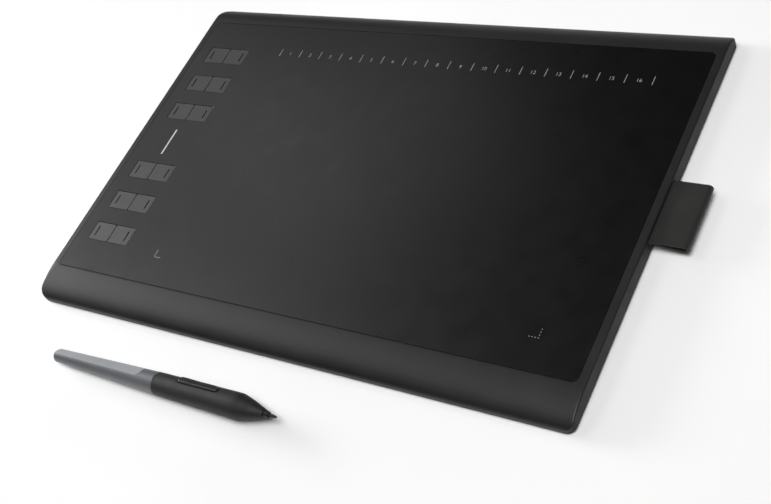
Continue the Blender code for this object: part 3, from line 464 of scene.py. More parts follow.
CARRIED_OVER: dict[str, tuple[Finish, str]] = {
    "bottom_cover": (COVER_ABS, "bottom_shell"),
    "sensor_board": (BOARD_EPOXY, "circuit_board"),
    "main_board": (BOARD_EPOXY, "circuit_board"),
    "key_board": (BOARD_EPOXY, "circuit_board"),
    "pen_circuit_board": (BOARD_EPOXY, "circuit_board"),
    "shield_plate": (SHIELD_TIN, "shield_steel"),
    "dome_sheet": (DOME_STEEL, "dome_film"),
    "sensor_ribbon": (RIBBON_FILM, "ribbon_film"),
    "key_ribbon": (RIBBON_FILM, "ribbon_film"),
    "loop_anchor": (ANCHOR_NYLON, "anchor_plastic"),
    "card_socket": (SOCKET_STEEL, "socket_steel"),
    "pen_carrier": (CARRIER_NYLON, "carrier_plastic"),
    "pen_switch_1": (SWITCH_STEEL, "socket_steel"),
    "pen_switch_2": (SWITCH_STEEL, "socket_steel"),
    "pen_pressure_sensor": (SENSOR_PBT, "sensor_plastic"),
    "pen_ferrite_core": (FERRITE, "ferrite"),
    "pen_coil": (COIL_WIRE, "coil_copper"),
    "pen_rocker_pin": (SCREW_STEEL, "screw_steel"),
}


# ------------------------------------------------------------------ shapes


def fresh() -> BMesh:
    """An empty bmesh that can hold the wear of its edges."""
    bm = bmesh.new()
    bm.loops.layers.float.new(WORN)
    return bm


def slice_across(bm: BMesh, point: Sequence[float], across: Sequence[float]) -> None:
    """Cuts every face along a plane through a point and keeps both sides."""
    everything = bm.verts[:] + bm.edges[:] + bm.faces[:]
    bmesh.ops.bisect_plane(bm, geom=everything, dist=WELD, plane_co=point, plane_no=across)


def corners_of(items: Sequence) -> list[BMVert]:
    """The corners among the items that an operator gives back."""
    return [item for item in items if isinstance(item, BMVert)]


def plan_ring(
    bm: BMesh,
    middle: Sequence[float],
    size: Sequence[float],
    radius: float | Sequence[float],
    z: float = 0.0,
    steps: int = 8,
) -> list[BMEdge]:
    """Adds a level ring: a rectangle with round corners.

    Args:
        bm: the mesh it goes in.
        middle: its centre in plan.
        size: its length and depth.
        radius: the radius of its corners, or of each from the rear right one round by the left.
        z: its height.
        steps: the edges in each corner.

    Returns:
        Its edges.
    """
    ring = bmesh.ops.create_circle(bm, segments=4 * (steps + 1), radius=1.0)["verts"]
    radii = radius if isinstance(radius, Sequence) else (radius,) * 4
    for index, corner in enumerate(ring):
        quarter, step = divmod(index, steps + 1)
        bend = radii[quarter]
        toward = math.radians(90.0 * quarter + 45.0)
        turn = math.radians(90.0 * (quarter + step / steps))
        x = middle[0] + math.copysign(size[0] / 2 - bend, math.cos(toward)) + bend * math.cos(turn)
        y = middle[1] + math.copysign(size[1] / 2 - bend, math.sin(toward)) + bend * math.sin(turn)
        corner.co = (x, y, z)
    return list(dict.fromkeys(edge for corner in ring for edge in corner.link_edges))


def step_on(bm: BMesh, edges: Sequence[BMEdge], place: Place) -> list[BMEdge]:
    """Extrudes a run of edges and puts each new corner where place says.

    Args:
        bm: the mesh.
        edges: the run.
        place: gives a new corner's point from its old one.

    Returns:
        The new run.
    """
    made = bmesh.ops.extrude_edge_only(bm, edges=edges)["geom"]
    new = corners_of(made)
    for corner in new:
        corner.co = place(corner.co)
    known = set(new)
    return [item for item in made if isinstance(item, BMEdge) and known.issuperset(item.verts)]


def to_height(z: float) -> Place:
    """A place function that moves a corner straight to a height."""
    return lambda point: Vector((point.x, point.y, z))


def fill_between(bm: BMesh, edges: Sequence[BMEdge]) -> list[BMFace]:
    """Fills the plane between an outer ring and the rings inside it."""
    made = bmesh.ops.triangle_fill(bm, use_beauty=True, use_dissolve=False, edges=edges)["geom"]
    return [item for item in made if isinstance(item, BMFace)]


def prism(
    bm: BMesh,
    middle: Sequence[float],
    size: Sequence[float],
    radius: float,
    span: Sequence[float],
    steps: int = 4,
    turn: Matrix | None = None,
    grow: float = 0.0,
) -> list[BMVert]:
    """Adds an upright block with round corners, or one that is turned to another plane.

    Args:
        bm: the mesh it goes in.
        middle: its centre in plan.
        size: its length and depth.
        radius: the radius of its upright corners.
        span: its lowest and highest point.
        steps: the edges in each corner.
        turn: how it is turned once it is drawn.
        grow: how much further out its far end reaches on every side.

    Returns:
        Its corners.
    """
    ring = plan_ring(bm, middle, size, radius, span[0], steps)
    base = bmesh.ops.edgeloop_fill(bm, edges=ring)["faces"]
    low = base[0].verts[:]
    high = corners_of(bmesh.ops.extrude_face_region(bm, geom=base)["geom"])
    centre = Vector((middle[0], middle[1], span[1]))
    for corner in high:
        corner.co.z = span[1]
        if grow:
            away = corner.co - centre
            corner.co += Vector((math.copysign(grow, away.x), math.copysign(grow, away.y), 0.0))
    if turn is not None:
        bmesh.ops.transform(bm, matrix=turn, verts=low + high)
    return low + high


def chain(bm: BMesh, points: Sequence[Sequence[float]], closed: bool = False) -> list[BMEdge]:
    """Draws a line through points, one extrusion at a time.

    Args:
        bm: the mesh it goes in.
        points: its points in order.
        closed: whether the last point is joined to the first.

    Returns:
        Its edges.
    """
    first = last = bm.verts.new(points[0])
    edges = []
    for point in points[1:]:
        made = bmesh.ops.extrude_vert_indiv(bm, verts=[last])
        last = made["verts"][0]
        last.co = point
        edges += made["edges"]
    if closed:
        edges.append(bm.edges.new((last, first)))
    return edges


def turned(profile: Sequence[tuple[float, float]], steps: int = 96, closed: bool = False) -> BMesh:
    """Spins a profile of (radius, z) about Z.

    Args:
        profile: its points in order.
        steps: the sides of the result.
        closed: whether the profile is closed, as round a bore.

    Returns:
        The turned shape, with its poles and seam closed.
    """
    bm = fresh()
    edges = chain(bm, [(radius, 0.0, z) for radius, z in profile], closed)
    geom = bm.verts[:] + edges
    bmesh.ops.spin(
        bm, geom=geom, axis=(0, 0, 1), cent=(0, 0, 0), steps=steps, angle=math.tau, use_merge=True
    )
    tidy(bm)
    return bm


def tidy(bm: BMesh) -> None:
    """Closes seams and turns the faces outwards."""
    bmesh.ops.remove_doubles(bm, verts=bm.verts, dist=WELD)
    bmesh.ops.recalc_face_normals(bm, faces=bm.faces)


def creases(bm: BMesh, degrees: float, keep: Callable[[Vector], bool] | None = None) -> list[BMEdge]:
    """Finds edges that turn by more than an angle.

    Args:
        bm: the mesh.
        degrees: the angle.
        keep: says of an edge's middle whether the edge counts.

    Returns:
        The edges.
    """
    found = []
    for edge in bm.edges:
        if len(edge.link_faces) == 2 and edge.calc_face_angle(0.0) > math.radians(degrees):
            middle = (edge.verts[0].co + edge.verts[1].co) / 2
            if keep is None or keep(middle):
                found.append(edge)
    return found


def soften(bm: BMesh, edges: Sequence[BMEdge], width: float, segments: int = 2) -> None:
    """Rounds edges and marks the new faces as the ones that wear.

    Args:
        bm: the mesh.
        edges: the edges to round.
        width: how far back the rounding starts.
        segments: the faces across it.
    """
    worn = bm.loops.layers.float[WORN]
    made = bmesh.ops.bevel(
        bm,
        geom=list(edges),
        offset=width,
        segments=segments,
        profile=0.5,
        affect="EDGES",
        material=-1,
        clamp_overlap=True,
    )
    for face in made["faces"]:
        for loop in face.loops:
            loop[worn] = 1.0


def shade(bm: BMesh, sharp: float, flats: Flats, flat_area: float = 12.0) -> None:
    """Shades curves smooth, planes flat and creases sharp.

    Args:
        bm: the mesh, still in millimetres.
        sharp: the angle in degrees from which an edge is a crease.
        flats: which faces are planes.
        flat_area: the area from which a face is large.
    """
    along_axis = 0.99995
    for face in bm.faces:
        if flats is Flats.ALL:
            face.smooth = face.calc_area() < flat_area
        else:
            face.smooth = max(abs(part) for part in face.normal) < along_axis
    for edge in bm.edges:
        edge.smooth = len(edge.link_faces) != 2 or edge.calc_face_angle(0.0) < math.radians(sharp)


def as_object(name: str, bm: BMesh) -> bpy.types.Object:
    """Puts a shape into a new object of the scene.

    Args:
        name: the object's name.
        bm: the shape, which is freed.

    Returns:
        The object.
    """
    mesh = bpy.data.meshes.new(name)
    bm.to_mesh(mesh)
    bm.free()
    obj = bpy.data.objects.new(name, mesh)
    bpy.context.scene.collection.objects.link(obj)
    return obj


def settled(obj: bpy.types.Object) -> BMesh:
    """Takes an object out of the scene.

    Args:
        obj: the object, which is removed.

    Returns:
        Its shape with its modifiers applied.
    """
    graph = bpy.context.evaluated_depsgraph_get()
    mesh = bpy.data.meshes.new_from_object(obj.evaluated_get(graph))
    bm = bmesh.new()
    bm.from_mesh(mesh)
    if bm.loops.layers.float.get(WORN) is None:
        bm.loops.layers.float.new(WORN)
    bpy.data.meshes.remove(mesh)
    bpy.data.objects.remove(obj)
    return bm


def cut_away(bm: BMesh, cutter: BMesh) -> BMesh:
    """Cuts one closed shape out of another.

    Args:
        bm: the shape that is cut, which is freed.
        cutter: the shape that is taken away, which is freed.

    Returns:
        What is left.
    """
    tidy(cutter)
    body, tool = as_object("being_cut", bm), as_object("cutter", cutter)
    boolean = body.modifiers.new("openings", "BOOLEAN")
    boolean.operation = "DIFFERENCE"
    boolean.solver = "EXACT"
    boolean.object = tool
    left = settled(body)
    bpy.data.objects.remove(tool)
    tidy(left)
    return left


@dataclass(frozen=True)
class Mount:
    """How a piece joins the model: its body, its slot and the nodes that it stands for."""

    body: str
    slot: str
    replaced: tuple[str, ...] = ()


def place_piece(
    name: str,
    bm: BMesh,
    place: Matrix,
    finishes: Sequence[Finish],
    mount: Mount,
    sharp: float = 32.0,
    flats: Flats = Flats.LEVEL,
) -> bpy.types.Object:
    """Finishes a piece and puts it in the row frame.

    Args:
        name: the piece's name.
        bm: its shape in millimetres, which is freed.
        place: takes its own frame to the row frame.
        finishes: its finishes in the order of its material numbers.
        mount: how it joins the model.
        sharp: the angle in degrees from which an edge is a crease.
        flats: which faces are shaded as planes.

    Returns:
        The finished piece.
    """
    shade(bm, sharp, flats)
    bmesh.ops.transform(bm, matrix=place, verts=bm.verts)
    obj = as_object(name, bm)
    for finish in finishes:
        obj.data.materials.append(finish.material())
    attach(obj, mount.body)
    if mount.replaced:
        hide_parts(*mount.replaced)
    LOG.info("%s: %d faces on %s", name, len(obj.data.polygons), mount.body)
    return obj


def tablet_place() -> Matrix:
    """The tablet's own frame in the row frame, from the housing's box."""
    low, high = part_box("top_frame")
    middle = (low + high) / 2
    return Matrix.Translation((middle.x, middle.y, 0.0)) @ Matrix.Scale(MM, 4)


def pen_place() -> Matrix:
    """The pen's own frame in the row frame, from the rocker's pivot and the nib's axis."""
    joints = {joint["name"]: joint for joint in frame["joints"]}
    along = -Vector(joints["pen_nib_press"]["axis"]).normalized()
    across = Vector(joints["pen_rocker_tilt"]["axis"])
    across = (across - along * across.dot(along)).normalized()
    up = across.cross(along)
    pivot = Vector(joints["pen_rocker_tilt"]["pos_m"])
    tail = pivot - (up * Rocker.pivot_x + along * Rocker.pivot_z) * MM
    turn = Matrix((up, across, along)).transposed().to_4x4()
    return Matrix.Translation(tail) @ turn @ Matrix.Scale(MM, 4)


# ------------------------------------------------------------------ tablet


@dataclass
class Housing:
    """Top frame: palm slope, flat deck with the sheet's recess, round rear edge, open below.

    The radii of its corners go from the rear right one round by the left.
    """

    length: float = 360.0
    depth: float = 240.0
    top: float = 10.0
    corners: tuple[float, float, float, float] = (4.0, 10.0, 7.0, 4.5)
    seam: float = 2.3
    lip: float = 0.6
    wall: float = 1.5
    palm_run: float = 22.0
    rear_run: float = 13.0
    fillet: float = 0.9
    fillet_steps: int = 5
    deck: float = 9.2
    ceiling: float = 7.7
    ceiling_margin: float = 1.0
    inner_fall: float = 1.06
    inner_least: float = 0.2
    palm_slices: int = 22
    rear_slices: int = 14
    corner_steps: int = 14
    rim_inside: float = 2.0
    rim_edge: float = 0.14
    mouth_above: float = 3.0
    mouth_edge: float = 0.18
    # Faces turned further to the side than this take the end walls' painted shade.
    painted_shade_facing: float = 0.8

    def corner(self, point: Vector) -> float:
        """Radius of the plan outline's corner on a point's side."""
        rear_right, rear_left, front_left, front_right = self.corners
        if point.y > 0.0:
            return rear_right if point.x > 0.0 else rear_left
        return front_right if point.x > 0.0 else front_left

    def into(self, point: Vector) -> tuple[float, Vector]:
        """How far a point lies inside the plan outline, and the way further in.

        Args:
            point: a point, of which only the plan counts.

        Returns:
            The distance and a level unit vector.
        """
        corner = self.corner(point)
        reach_x = abs(point.x) - (self.length / 2 - corner)
        reach_y = abs(point.y) - (self.depth / 2 - corner)
        way = Vector((max(reach_x, 0.0), max(reach_y, 0.0), 0.0))
        if way.length < WELD:
            way = Vector((1.0, 0.0, 0.0)) if reach_x > reach_y else Vector((0.0, 1.0, 0.0))
            reach = max(reach_x, reach_y)
        else:
            reach = way.length
        way.normalize()
        inward = Vector((-math.copysign(way.x, point.x), -math.copysign(way.y, point.y), 0.0))
        return corner - reach, inward

    def run(self, y: float) -> float:
        """How far down a slope a place is: 0 on the flat deck, 1 at the edge."""
        front = (-self.depth / 2 + self.palm_run - y) / self.palm_run
        rear = (y - self.depth / 2 + self.rear_run) / self.rear_run
        return min(max(front, rear, 0.0), 1.0)

    def surface(self, point: Vector) -> float:
        """Height of the outer skin over a point in plan.

        Args:
            point: the point.

        Returns:
            The height.
        """
        full = self.top - self.seam
        rise = self.lip + (full - self.lip) * math.sqrt(1.0 - self.run(point.y) ** 2)
        inside, _ = self.into(point)
        back = 1.0 - min(max(inside, 0.0) / self.fillet, 1.0)
        drop = self.fillet * (1.0 - math.sqrt(1.0 - back**2))
        return self.seam + rise * (1.0 - drop / full)

    def further_in(self, amount: float, z: float | None = None) -> Place:
        """A place function that moves a corner inwards in plan, and to a height if one is given."""

        def moved(point: Vector) -> Vector:
            """The corner's new point."""
            new = point + self.into(point)[1] * amount
            if z is not None:
                new.z = z
            return new

        return moved

    def onto(self, recess: Sequence[float]) -> Place:
        """A place function that moves a corner of the plan outline to its fellow on the recess."""
        x, y, length, depth, radius = recess

        def moved(point: Vector) -> Vector:
            """The corner's new point."""
            out = self.into(point)[1] * -radius
            reach_x = math.copysign(length / 2 - radius, point.x)
            reach_y = math.copysign(depth / 2 - radius, point.y)
            return Vector((x + reach_x + out.x, y + reach_y + out.y, 0.0))

        return moved

    def skin(self, recess: Sequence[float]) -> BMesh:
        """The outer skin with the ring of the recess in it.

        Args:
            recess: the centre, size and corner radius of the recess.

        Returns:
            An open shape whose edges are the outline and the recess.
        """
        bm = fresh()
        edges = plan_ring(bm, (0, 0), (self.length, self.depth), self.corners, steps=self.corner_steps)
        reached = 0.0
        for step in range(1, self.fillet_steps + 1):
            inset = self.fillet * (1.0 - math.cos(math.pi / 2 * step / self.fillet_steps))
            edges = step_on(bm, edges, self.further_in(inset - reached))
            reached = inset
        step_on(bm, edges, self.onto(recess))
        for y in self.slices():
            slice_across(bm, (0, y, 0), (0, 1, 0))
        for corner in bm.verts:
            corner.co.z = self.surface(corner.co)
        return bm

    def slices(self) -> list[float]:
        """Chooses where the skin is cut across, closer together where the slopes are steep.

        Returns:
            The places along the depth.
        """
        cuts = []
        for count, run, edge in (
            (self.palm_slices, self.palm_run, -self.depth / 2),
            (self.rear_slices, self.rear_run, self.depth / 2),
        ):
            for step in range(1, count + 1):
                share = 1.0 - math.cos(math.pi / 2 * step / count)
                cuts.append(edge - math.copysign(run * share, edge))
        return cuts

    def inner_top(self, point: Vector) -> Vector:
        """Top of the inner wall, lower under the slopes."""
        height = (self.ceiling - self.seam) * (1.0 - self.run(point.y) * self.inner_fall)
        return Vector((point.x, point.y, self.seam + max(height, self.inner_least)))

    def under_deck(self, point: Vector) -> Vector:
        """The corner drawn in to the flat part of the ceiling."""
        half = self.length / 2 - self.wall - self.ceiling_margin
        front, rear = -self.depth / 2 + self.palm_run, self.depth / 2 - self.rear_run
        return Vector((min(max(point.x, -half), half), min(max(point.y, front), rear), self.ceiling))

    def openings(self, keys: "PressKeys", loop: "PenLoop", sockets: Sequence["Mouth"]) -> BMesh:
        """Gathers what is cut out of the frame.

        Args:
            keys: the keys, which need a window for each pair.
            loop: the pen loop, which needs a notch in the right wall.
            sockets: the mouths in the left wall.

        Returns:
            One closed shape for each opening.
        """
        cutter = fresh()
        side = self.length / 2
        for pair in keys.pairs():
            prism(cutter, pair, keys.window(), keys.window_radius, (self.ceiling - OVERCUT, self.top))
        low, high = loop.notch
        size = (loop.width + loop.notch_play, high - low)
        span = (loop.notch_x, side + OVERCUT)
        prism(cutter, (loop.y, (low + high) / 2), size, loop.notch_radius, span, turn=SIDEWAYS)
        for mouth in sockets:
            span = (-side - OVERCUT, mouth.depth - side)
            prism(cutter, mouth.middle, mouth.size, mouth.radius, span, turn=SIDEWAYS)
        return cutter

    def at_rim(self, point: Vector) -> bool:
        """Whether a point lies on the edge between the deck and the recess."""
        return point.z > self.deck + GAP and self.into(point)[0] > self.rim_inside

    def at_end_wall(self, point: Vector) -> bool:
        """Whether a point lies in the left or right wall's face, above the seam."""
        return abs(abs(point.x) - self.length / 2) < TOUCH and point.z > self.mouth_above

    def build(self, place: Matrix, recess: Sequence[float], cutter: BMesh) -> None:
        """Makes the frame and puts it in place of its node.

        Args:
            place: the tablet's frame in the row frame.
            recess: the centre, size and corner radius of the recess.
            cutter: what is cut out of it.
        """
        bm = self.skin(recess)
        open_edges = [edge for edge in bm.edges if edge.is_boundary]
        outline = [edge for edge in open_edges if self.into(edge.verts[0].co)[0] < self.fillet / 2]
        inner = [edge for edge in open_edges if edge not in outline]
        floor = step_on(bm, inner, to_height(self.deck))
        bmesh.ops.edgeloop_fill(bm, edges=floor)
        low = step_on(bm, outline, to_height(self.seam))
        low = step_on(bm, low, self.further_in(self.wall, self.seam))
        low = step_on(bm, low, self.inner_top)
        low = step_on(bm, low, self.under_deck)
        bmesh.ops.edgeloop_fill(bm, edges=low)
        tidy(bm)
        soften(bm, creases(bm, SQUARE, self.at_rim), self.rim_edge)
        bm = cut_away(bm, cutter)
        soften(bm, creases(bm, SQUARE, self.at_end_wall), self.mouth_edge)
        # End walls take material 1, the darker copy of the frame's ABS that paints their shade.
        for face in bm.faces:
            face.material_index = int(abs(face.normal.x) > self.painted_shade_facing)
        mount = Mount("tablet", "frame_shell", ("top_frame",))
        place_piece("top_frame_shell", bm, place, [FRAME_ABS, END_WALL_PAINTED_SHADE_ABS], mount)


@dataclass
class DrawingSheet:
    """Film panel let into the deck, with a window for each pair of keys."""

    length: float = 350.4
    front: float = -98.0
    rear: float = 104.0
    radius: float = 3.0
    bottom: float = 9.5
    top: float = 10.0
    edge: float = 0.12
    corner_steps: int = 10

    def middle_y(self) -> float:
        """Centre of the sheet along the tablet's depth."""
        return (self.front + self.rear) / 2

    def recess(self) -> tuple[float, float, float, float, float]:
        """Centre, size and corner radius of the opening that it lies in."""
        depth = self.rear - self.front
        return 0.0, self.middle_y(), self.length + 2 * GAP, depth + 2 * GAP, self.radius + GAP

    def build(self, place: Matrix, keys: "PressKeys") -> None:
        """Makes the sheet and puts it in place of its node."""
        bm = fresh()
        size = (self.length, self.rear - self.front)
        edges = plan_ring(bm, (0.0, self.middle_y()), size, self.radius, self.top, self.corner_steps)
        for pair in keys.pairs():
            edges += plan_ring(bm, pair, keys.window(), keys.window_radius, self.top, keys.corner_steps)
        faces = fill_between(bm, edges)
        lower = corners_of(bmesh.ops.extrude_face_region(bm, geom=faces)["geom"])
        for corner in lower:
            corner.co.z = self.bottom
        tidy(bm)
        soften(bm, creases(bm, SQUARE, lambda point: point.z > self.top - TOUCH), self.edge)
        mount = Mount("tablet", "drawing_film", ("drawing_surface",))
        place_piece("drawing_sheet", bm, place, [SHEET_PET], mount)


@dataclass
class PressKeys:
    """Twelve press keys in six pairs, each with a slot near its outer side, painted dark as painted shade.
    """

    x: float = -149.0
    middle_y: float = 2.5
    pitch: float = 24.3
    steps: tuple[int, ...] = (3, 2, 1, -1, -2, -3)
    length: float = 16.1
    depth: float = 12.6
    split: float = 0.6
    corner: float = 0.6
    corner_steps: int = 4
    edge: float = 0.3
    window_radius: float = 0.8
    top: float = 9.9
    skirt: float = 7.3
    flange: float = 0.9
    flange_bottom: float = 6.4
    pad_bottom: float = 5.7
    slot_length: float = 7.0
    slot_width: float = 0.9
    slot_radius: float = 0.432
    slot_depth: float = 0.35
    slot_x: float = -4.25

    def pairs(self) -> list[tuple[float, float]]:
        """The centre of each pair."""
        return [(self.x, self.middle_y + self.pitch * step) for step in self.steps]

    def window(self) -> tuple[float, float]:
        """Length and depth of the opening round a pair."""
        return 2 * self.length + self.split + 2 * GAP, self.depth + 2 * GAP

    def cap(self) -> BMesh:
        """Makes one key for the left place of a pair.

        Returns:
            The key, with the walls and floor of its slot as material 1, the slot's painted shade.
        """
        bm = fresh()
        size, slot_size = (self.length, self.depth), (self.slot_width, self.slot_length)
        outer = plan_ring(bm, (0, 0), size, self.corner, self.top, self.corner_steps)
        slot = plan_ring(bm, (self.slot_x, 0), slot_size, self.slot_radius, self.top, self.corner_steps)
        fill_between(bm, outer + slot)
        known = set(bm.faces)
        floor = step_on(bm, slot, to_height(self.top - self.slot_depth))
        bmesh.ops.edgeloop_fill(bm, edges=floor)
        # The slot's walls and floor take material 1, its painted shade.
        for face in set(bm.faces) - known:
            face.material_index = 1
        low = step_on(bm, outer, to_height(self.skirt))
        wide = 1.0 + self.flange / (self.depth / 2)
        low = step_on(bm, low, lambda point: Vector((point.x, point.y * wide, point.z)))
        low = step_on(bm, low, to_height(self.flange_bottom))
        base = bmesh.ops.edgeloop_fill(bm, edges=low)["faces"]
        bmesh.ops.inset_region(bm, faces=base, thickness=self.depth / 3, use_even_offset=True)
        pad = bmesh.ops.extrude_face_region(bm, geom=base)["geom"]
        for corner in corners_of(pad):
            corner.co.z = self.pad_bottom
        bmesh.ops.delete(bm, geom=[face for face in base if face.is_valid], context="FACES_ONLY")
        tidy(bm)
        soften(bm, creases(bm, SQUARE, lambda point: point.z > self.top - TOUCH), self.edge, 3)
        return bm

    def build(self, place: Matrix) -> None:
        """Makes the keys and puts each in place of its node."""
        number = 0
        for x, y in self.pairs():
            for side in (-1, 1):
                number += 1
                bm = self.cap()
                turn = Matrix.Rotation(math.pi if side > 0 else 0.0, 4, "Z")
                middle = x + side * (self.length + self.split) / 2
                bmesh.ops.transform(bm, matrix=Matrix.Translation((middle, y, 0)) @ turn, verts=bm.verts)
                node = f"key_{number}"
                mount = Mount(node, "key_plastic", (node,))
                place_piece(f"key_cap_{number}", bm, place, [KEY_ABS, SLOT_PAINTED_SHADE], mount)


@dataclass
class Prints:
    """Screen prints on the sheet: the scale of soft keys, the corner marks and a plain bar."""

    top: float = 10.0
    ink: float = 0.02
    first_x: float = -106.0
    last_x: float = 148.0
    places: int = 16
    tick_y: float = 82.0
    tick_length: float = 6.0
    line: float = 0.42
    number_y: float = 81.4
    number_size: float = 3.6
    number_steps: int = 3
    rounding: float = 0.3
    corner_y: float = -80.0
    corner_arm: float = 5.0
    dots: int = 4
    bar: tuple[float, float, float, float] = (-150.5, 2.0, 1.2, 20.0)

    def pitch(self) -> float:
        """Distance from one tick to the next."""
        return (self.last_x - self.first_x) / self.places

    def stroke(self, bm: BMesh, middle: Sequence[float], size: Sequence[float]) -> None:
        """Adds one printed stroke, round at its corners."""
        span = (self.top - self.ink, self.top + self.ink)
        prism(bm, middle, size, min(size) * self.rounding, span, 2)

    def ticks(self) -> BMesh:
        """The lines between the soft keys."""
        bm = fresh()
        for step in range(self.places + 1):
            middle = (self.first_x + step * self.pitch(), self.tick_y)
            self.stroke(bm, middle, (self.line, self.tick_length))
        return bm

    def numbers(self) -> BMesh:
        """Writes the numbers of the soft keys.

        Returns:
            All of them as one shape.
        """
        bm = fresh()
        for number in range(1, self.places + 1):
            text = bpy.data.curves.new("number", "FONT")
            text.body = str(number)
            text.size = self.number_size
            text.align_x, text.align_y = "CENTER", "CENTER"
            text.extrude = self.ink
            text.resolution_u = self.number_steps
            obj = bpy.data.objects.new("number", text)
            bpy.context.scene.collection.objects.link(obj)
            drawn = settled(obj)
            middle_x = self.first_x + (number - 0.5) * self.pitch()
            bmesh.ops.translate(drawn, verts=drawn.verts, vec=(middle_x, self.number_y, self.top))
            mesh = bpy.data.meshes.new("number")
            drawn.to_mesh(mesh)
            drawn.free()
            bm.from_mesh(mesh)
            bpy.data.meshes.remove(mesh)
        tidy(bm)
        return bm

    def corners(self) -> BMesh:
        """A full angle at the lower left of the working area and a dotted one at the lower right."""
        bm = fresh()
        x, y, arm = self.first_x, self.corner_y, self.corner_arm
        self.stroke(bm, (x + arm / 2, y), (arm, self.line))
        self.stroke(bm, (x, y + arm / 2), (self.line, arm - self.line))
        dash = arm / (2 * self.dots - 1)
        for step in range(self.dots):
            away = arm * step / (self.dots - 1)
            self.stroke(bm, (self.last_x - away, y), (dash, self.line))
            if step:
                self.stroke(bm, (self.last_x, y + away), (self.line, dash))
        return bm

    def plain_bar(self) -> BMesh:
        """A plain bar between the two groups of keys."""
        bm = fresh()
        self.stroke(bm, self.bar[:2], self.bar[2:])
        return bm

    def build(self, place: Matrix) -> None:
        """Makes the prints."""
        mount = Mount("tablet", "drawing_film")
        place_piece("print_scale_ticks", self.ticks(), place, [SCALE_INK], mount)
        place_piece("print_scale_numbers", self.numbers(), place, [SCALE_INK], mount)
        place_piece("print_corner_marks", self.corners(), place, [SCALE_INK], mount)
        place_piece("print_plain_bar", self.plain_bar(), place, [MARK_INK], mount)


@dataclass
class PenLoop:
    """Folded elastic band that comes out of a notch in the right wall."""

    y: float = 2.4
    width: float = 38.0
    cloth: float = 1.0
    wall_x: float = 180.0
    root_x: float = 172.5
    reach: float = 20.0
    fold: float = 4.5
    fold_z: float = 5.7
    upper_z: float = 7.7
    lower_z: float = 6.4
    notch: tuple[float, float] = (5.5, 8.5)
    notch_x: float = 171.9
    notch_play: float = 4 * GAP
    notch_radius: float = 0.6
    level_run: float = 2.0
    ramp_steps: int = 14
    fold_steps: int = 12
    strips: int = 26
    bow: float = 0.3
    ripple: float = 0.12
    ripple_turn: float = 3.0
    ripple_start: float = 1.0
    drawn_in: float = 0.25
    selvedge: float = 0.25

    def line(self) -> list[tuple[float, float]]:
        """Draws the band in section: out along the top, round the fold, back in below.

        Returns:
            The points of its middle line in order.
        """
        radius = (self.fold - self.cloth) / 2
        fold_x = self.wall_x + self.reach - self.fold / 2
        points = [(self.root_x, self.upper_z), (self.wall_x - self.level_run, self.upper_z)]
        points += self.ramp((self.wall_x, self.upper_z), (fold_x, self.fold_z + radius))
        for step in range(1, self.fold_steps):
            turn = math.pi / 2 - math.pi * step / self.fold_steps
            points.append((fold_x + radius * math.cos(turn), self.fold_z + radius * math.sin(turn)))
        points += self.ramp((fold_x, self.fold_z - radius), (self.wall_x, self.lower_z))
        points += [(self.wall_x - self.level_run, self.lower_z), (self.root_x, self.lower_z)]
        return points

    def ramp(self, start: tuple[float, float], end: tuple[float, float]) -> list[tuple[float, float]]:
        """Draws a line from start to end that leaves and arrives level.

        Args:
            start: its first point.
            end: its last point.

        Returns:
            Its points in order.
        """
        points = []
        for step in range(self.ramp_steps + 1):
            t = step / self.ramp_steps
            ease = t * t * (3 - 2 * t)
            points.append((start[0] + (end[0] - start[0]) * t, start[1] + (end[1] - start[1]) * ease))
        return points

    def length(self) -> float:
        """Length of the band along its middle line."""
        line = self.line()
        return sum(map(math.dist, line, line[1:]))

    def band(self) -> BMesh:
        """The band without thickness, with its own UV: how far along it, and where across it."""
        bm = fresh()
        line = self.line()
        front = self.y - self.width / 2
        edges = chain(bm, [(x, front, z) for x, z in line])
        runs = [0.0, *accumulate(map(math.dist, line, line[1:]))]
        along = {(corner.co.x, corner.co.z): run for corner, run in zip(bm.verts, runs)}
        pitch = Vector((0.0, self.width / self.strips, 0.0))
        for _ in range(self.strips):
            edges = step_on(bm, edges, lambda point: point + pitch)
        weave = bm.loops.layers.uv.new(WEAVE)
        for face in bm.faces:
            for loop in face.loops:
                point = loop.vert.co
                loop[weave].uv = (along[point.x, point.z], point.y)
        return bm

    def relax(self, bm: BMesh) -> None:
        """Lets the free part bow and ripple a little, and draws its fold in at the selvedges.

        Args:
            bm: the band, whose corners are moved.
        """
        for corner in bm.verts:
            free = min(max((corner.co.x - self.wall_x) / self.reach, 0.0), 1.0)
            across = (corner.co.y - self.y) / (self.width / 2)
            upper = 1.0 if corner.co.z > self.fold_z else -1.0
            swell = math.sin(math.pi * free) * (1.0 - across**2)
            ripple = self.ripple * free * math.sin(self.ripple_turn * across + self.ripple_start)
            corner.co.z += upper * self.bow * swell + ripple
            corner.co.x -= self.drawn_in * free * across**4

    def build(self, place: Matrix) -> None:
        """Makes the band and puts it in place of its node."""
        bm = self.band()
        self.relax(bm)
        tidy(bm)
        flat = as_object("band", bm)
        solid = flat.modifiers.new("cloth", "SOLIDIFY")
        solid.thickness = self.cloth
        solid.offset = 0.0
        bm = settled(flat)
        tidy(bm)
        soften(bm, creases(bm, SQUARE), self.selvedge)
        mount = Mount("tablet", "loop_fabric", ("pen_loop",))
        band = place_piece("pen_loop_band", bm, place, [LOOP_WEBBING], mount, sharp=70.0)
        flat_size = (self.width * MM, self.length() * MM)


@dataclass(frozen=True)
class Mouth:
    """Opening for a socket in the left wall: its centre across and up, its size and its depth."""

    middle: tuple[float, float]
    size: tuple[float, float]
    radius: float
    depth: float


# The mouth that the memory card goes in.
CARD_MOUTH = Mouth(middle=(73.0, 5.0), size=(14.6, 1.95), radius=0.5, depth=12.0)


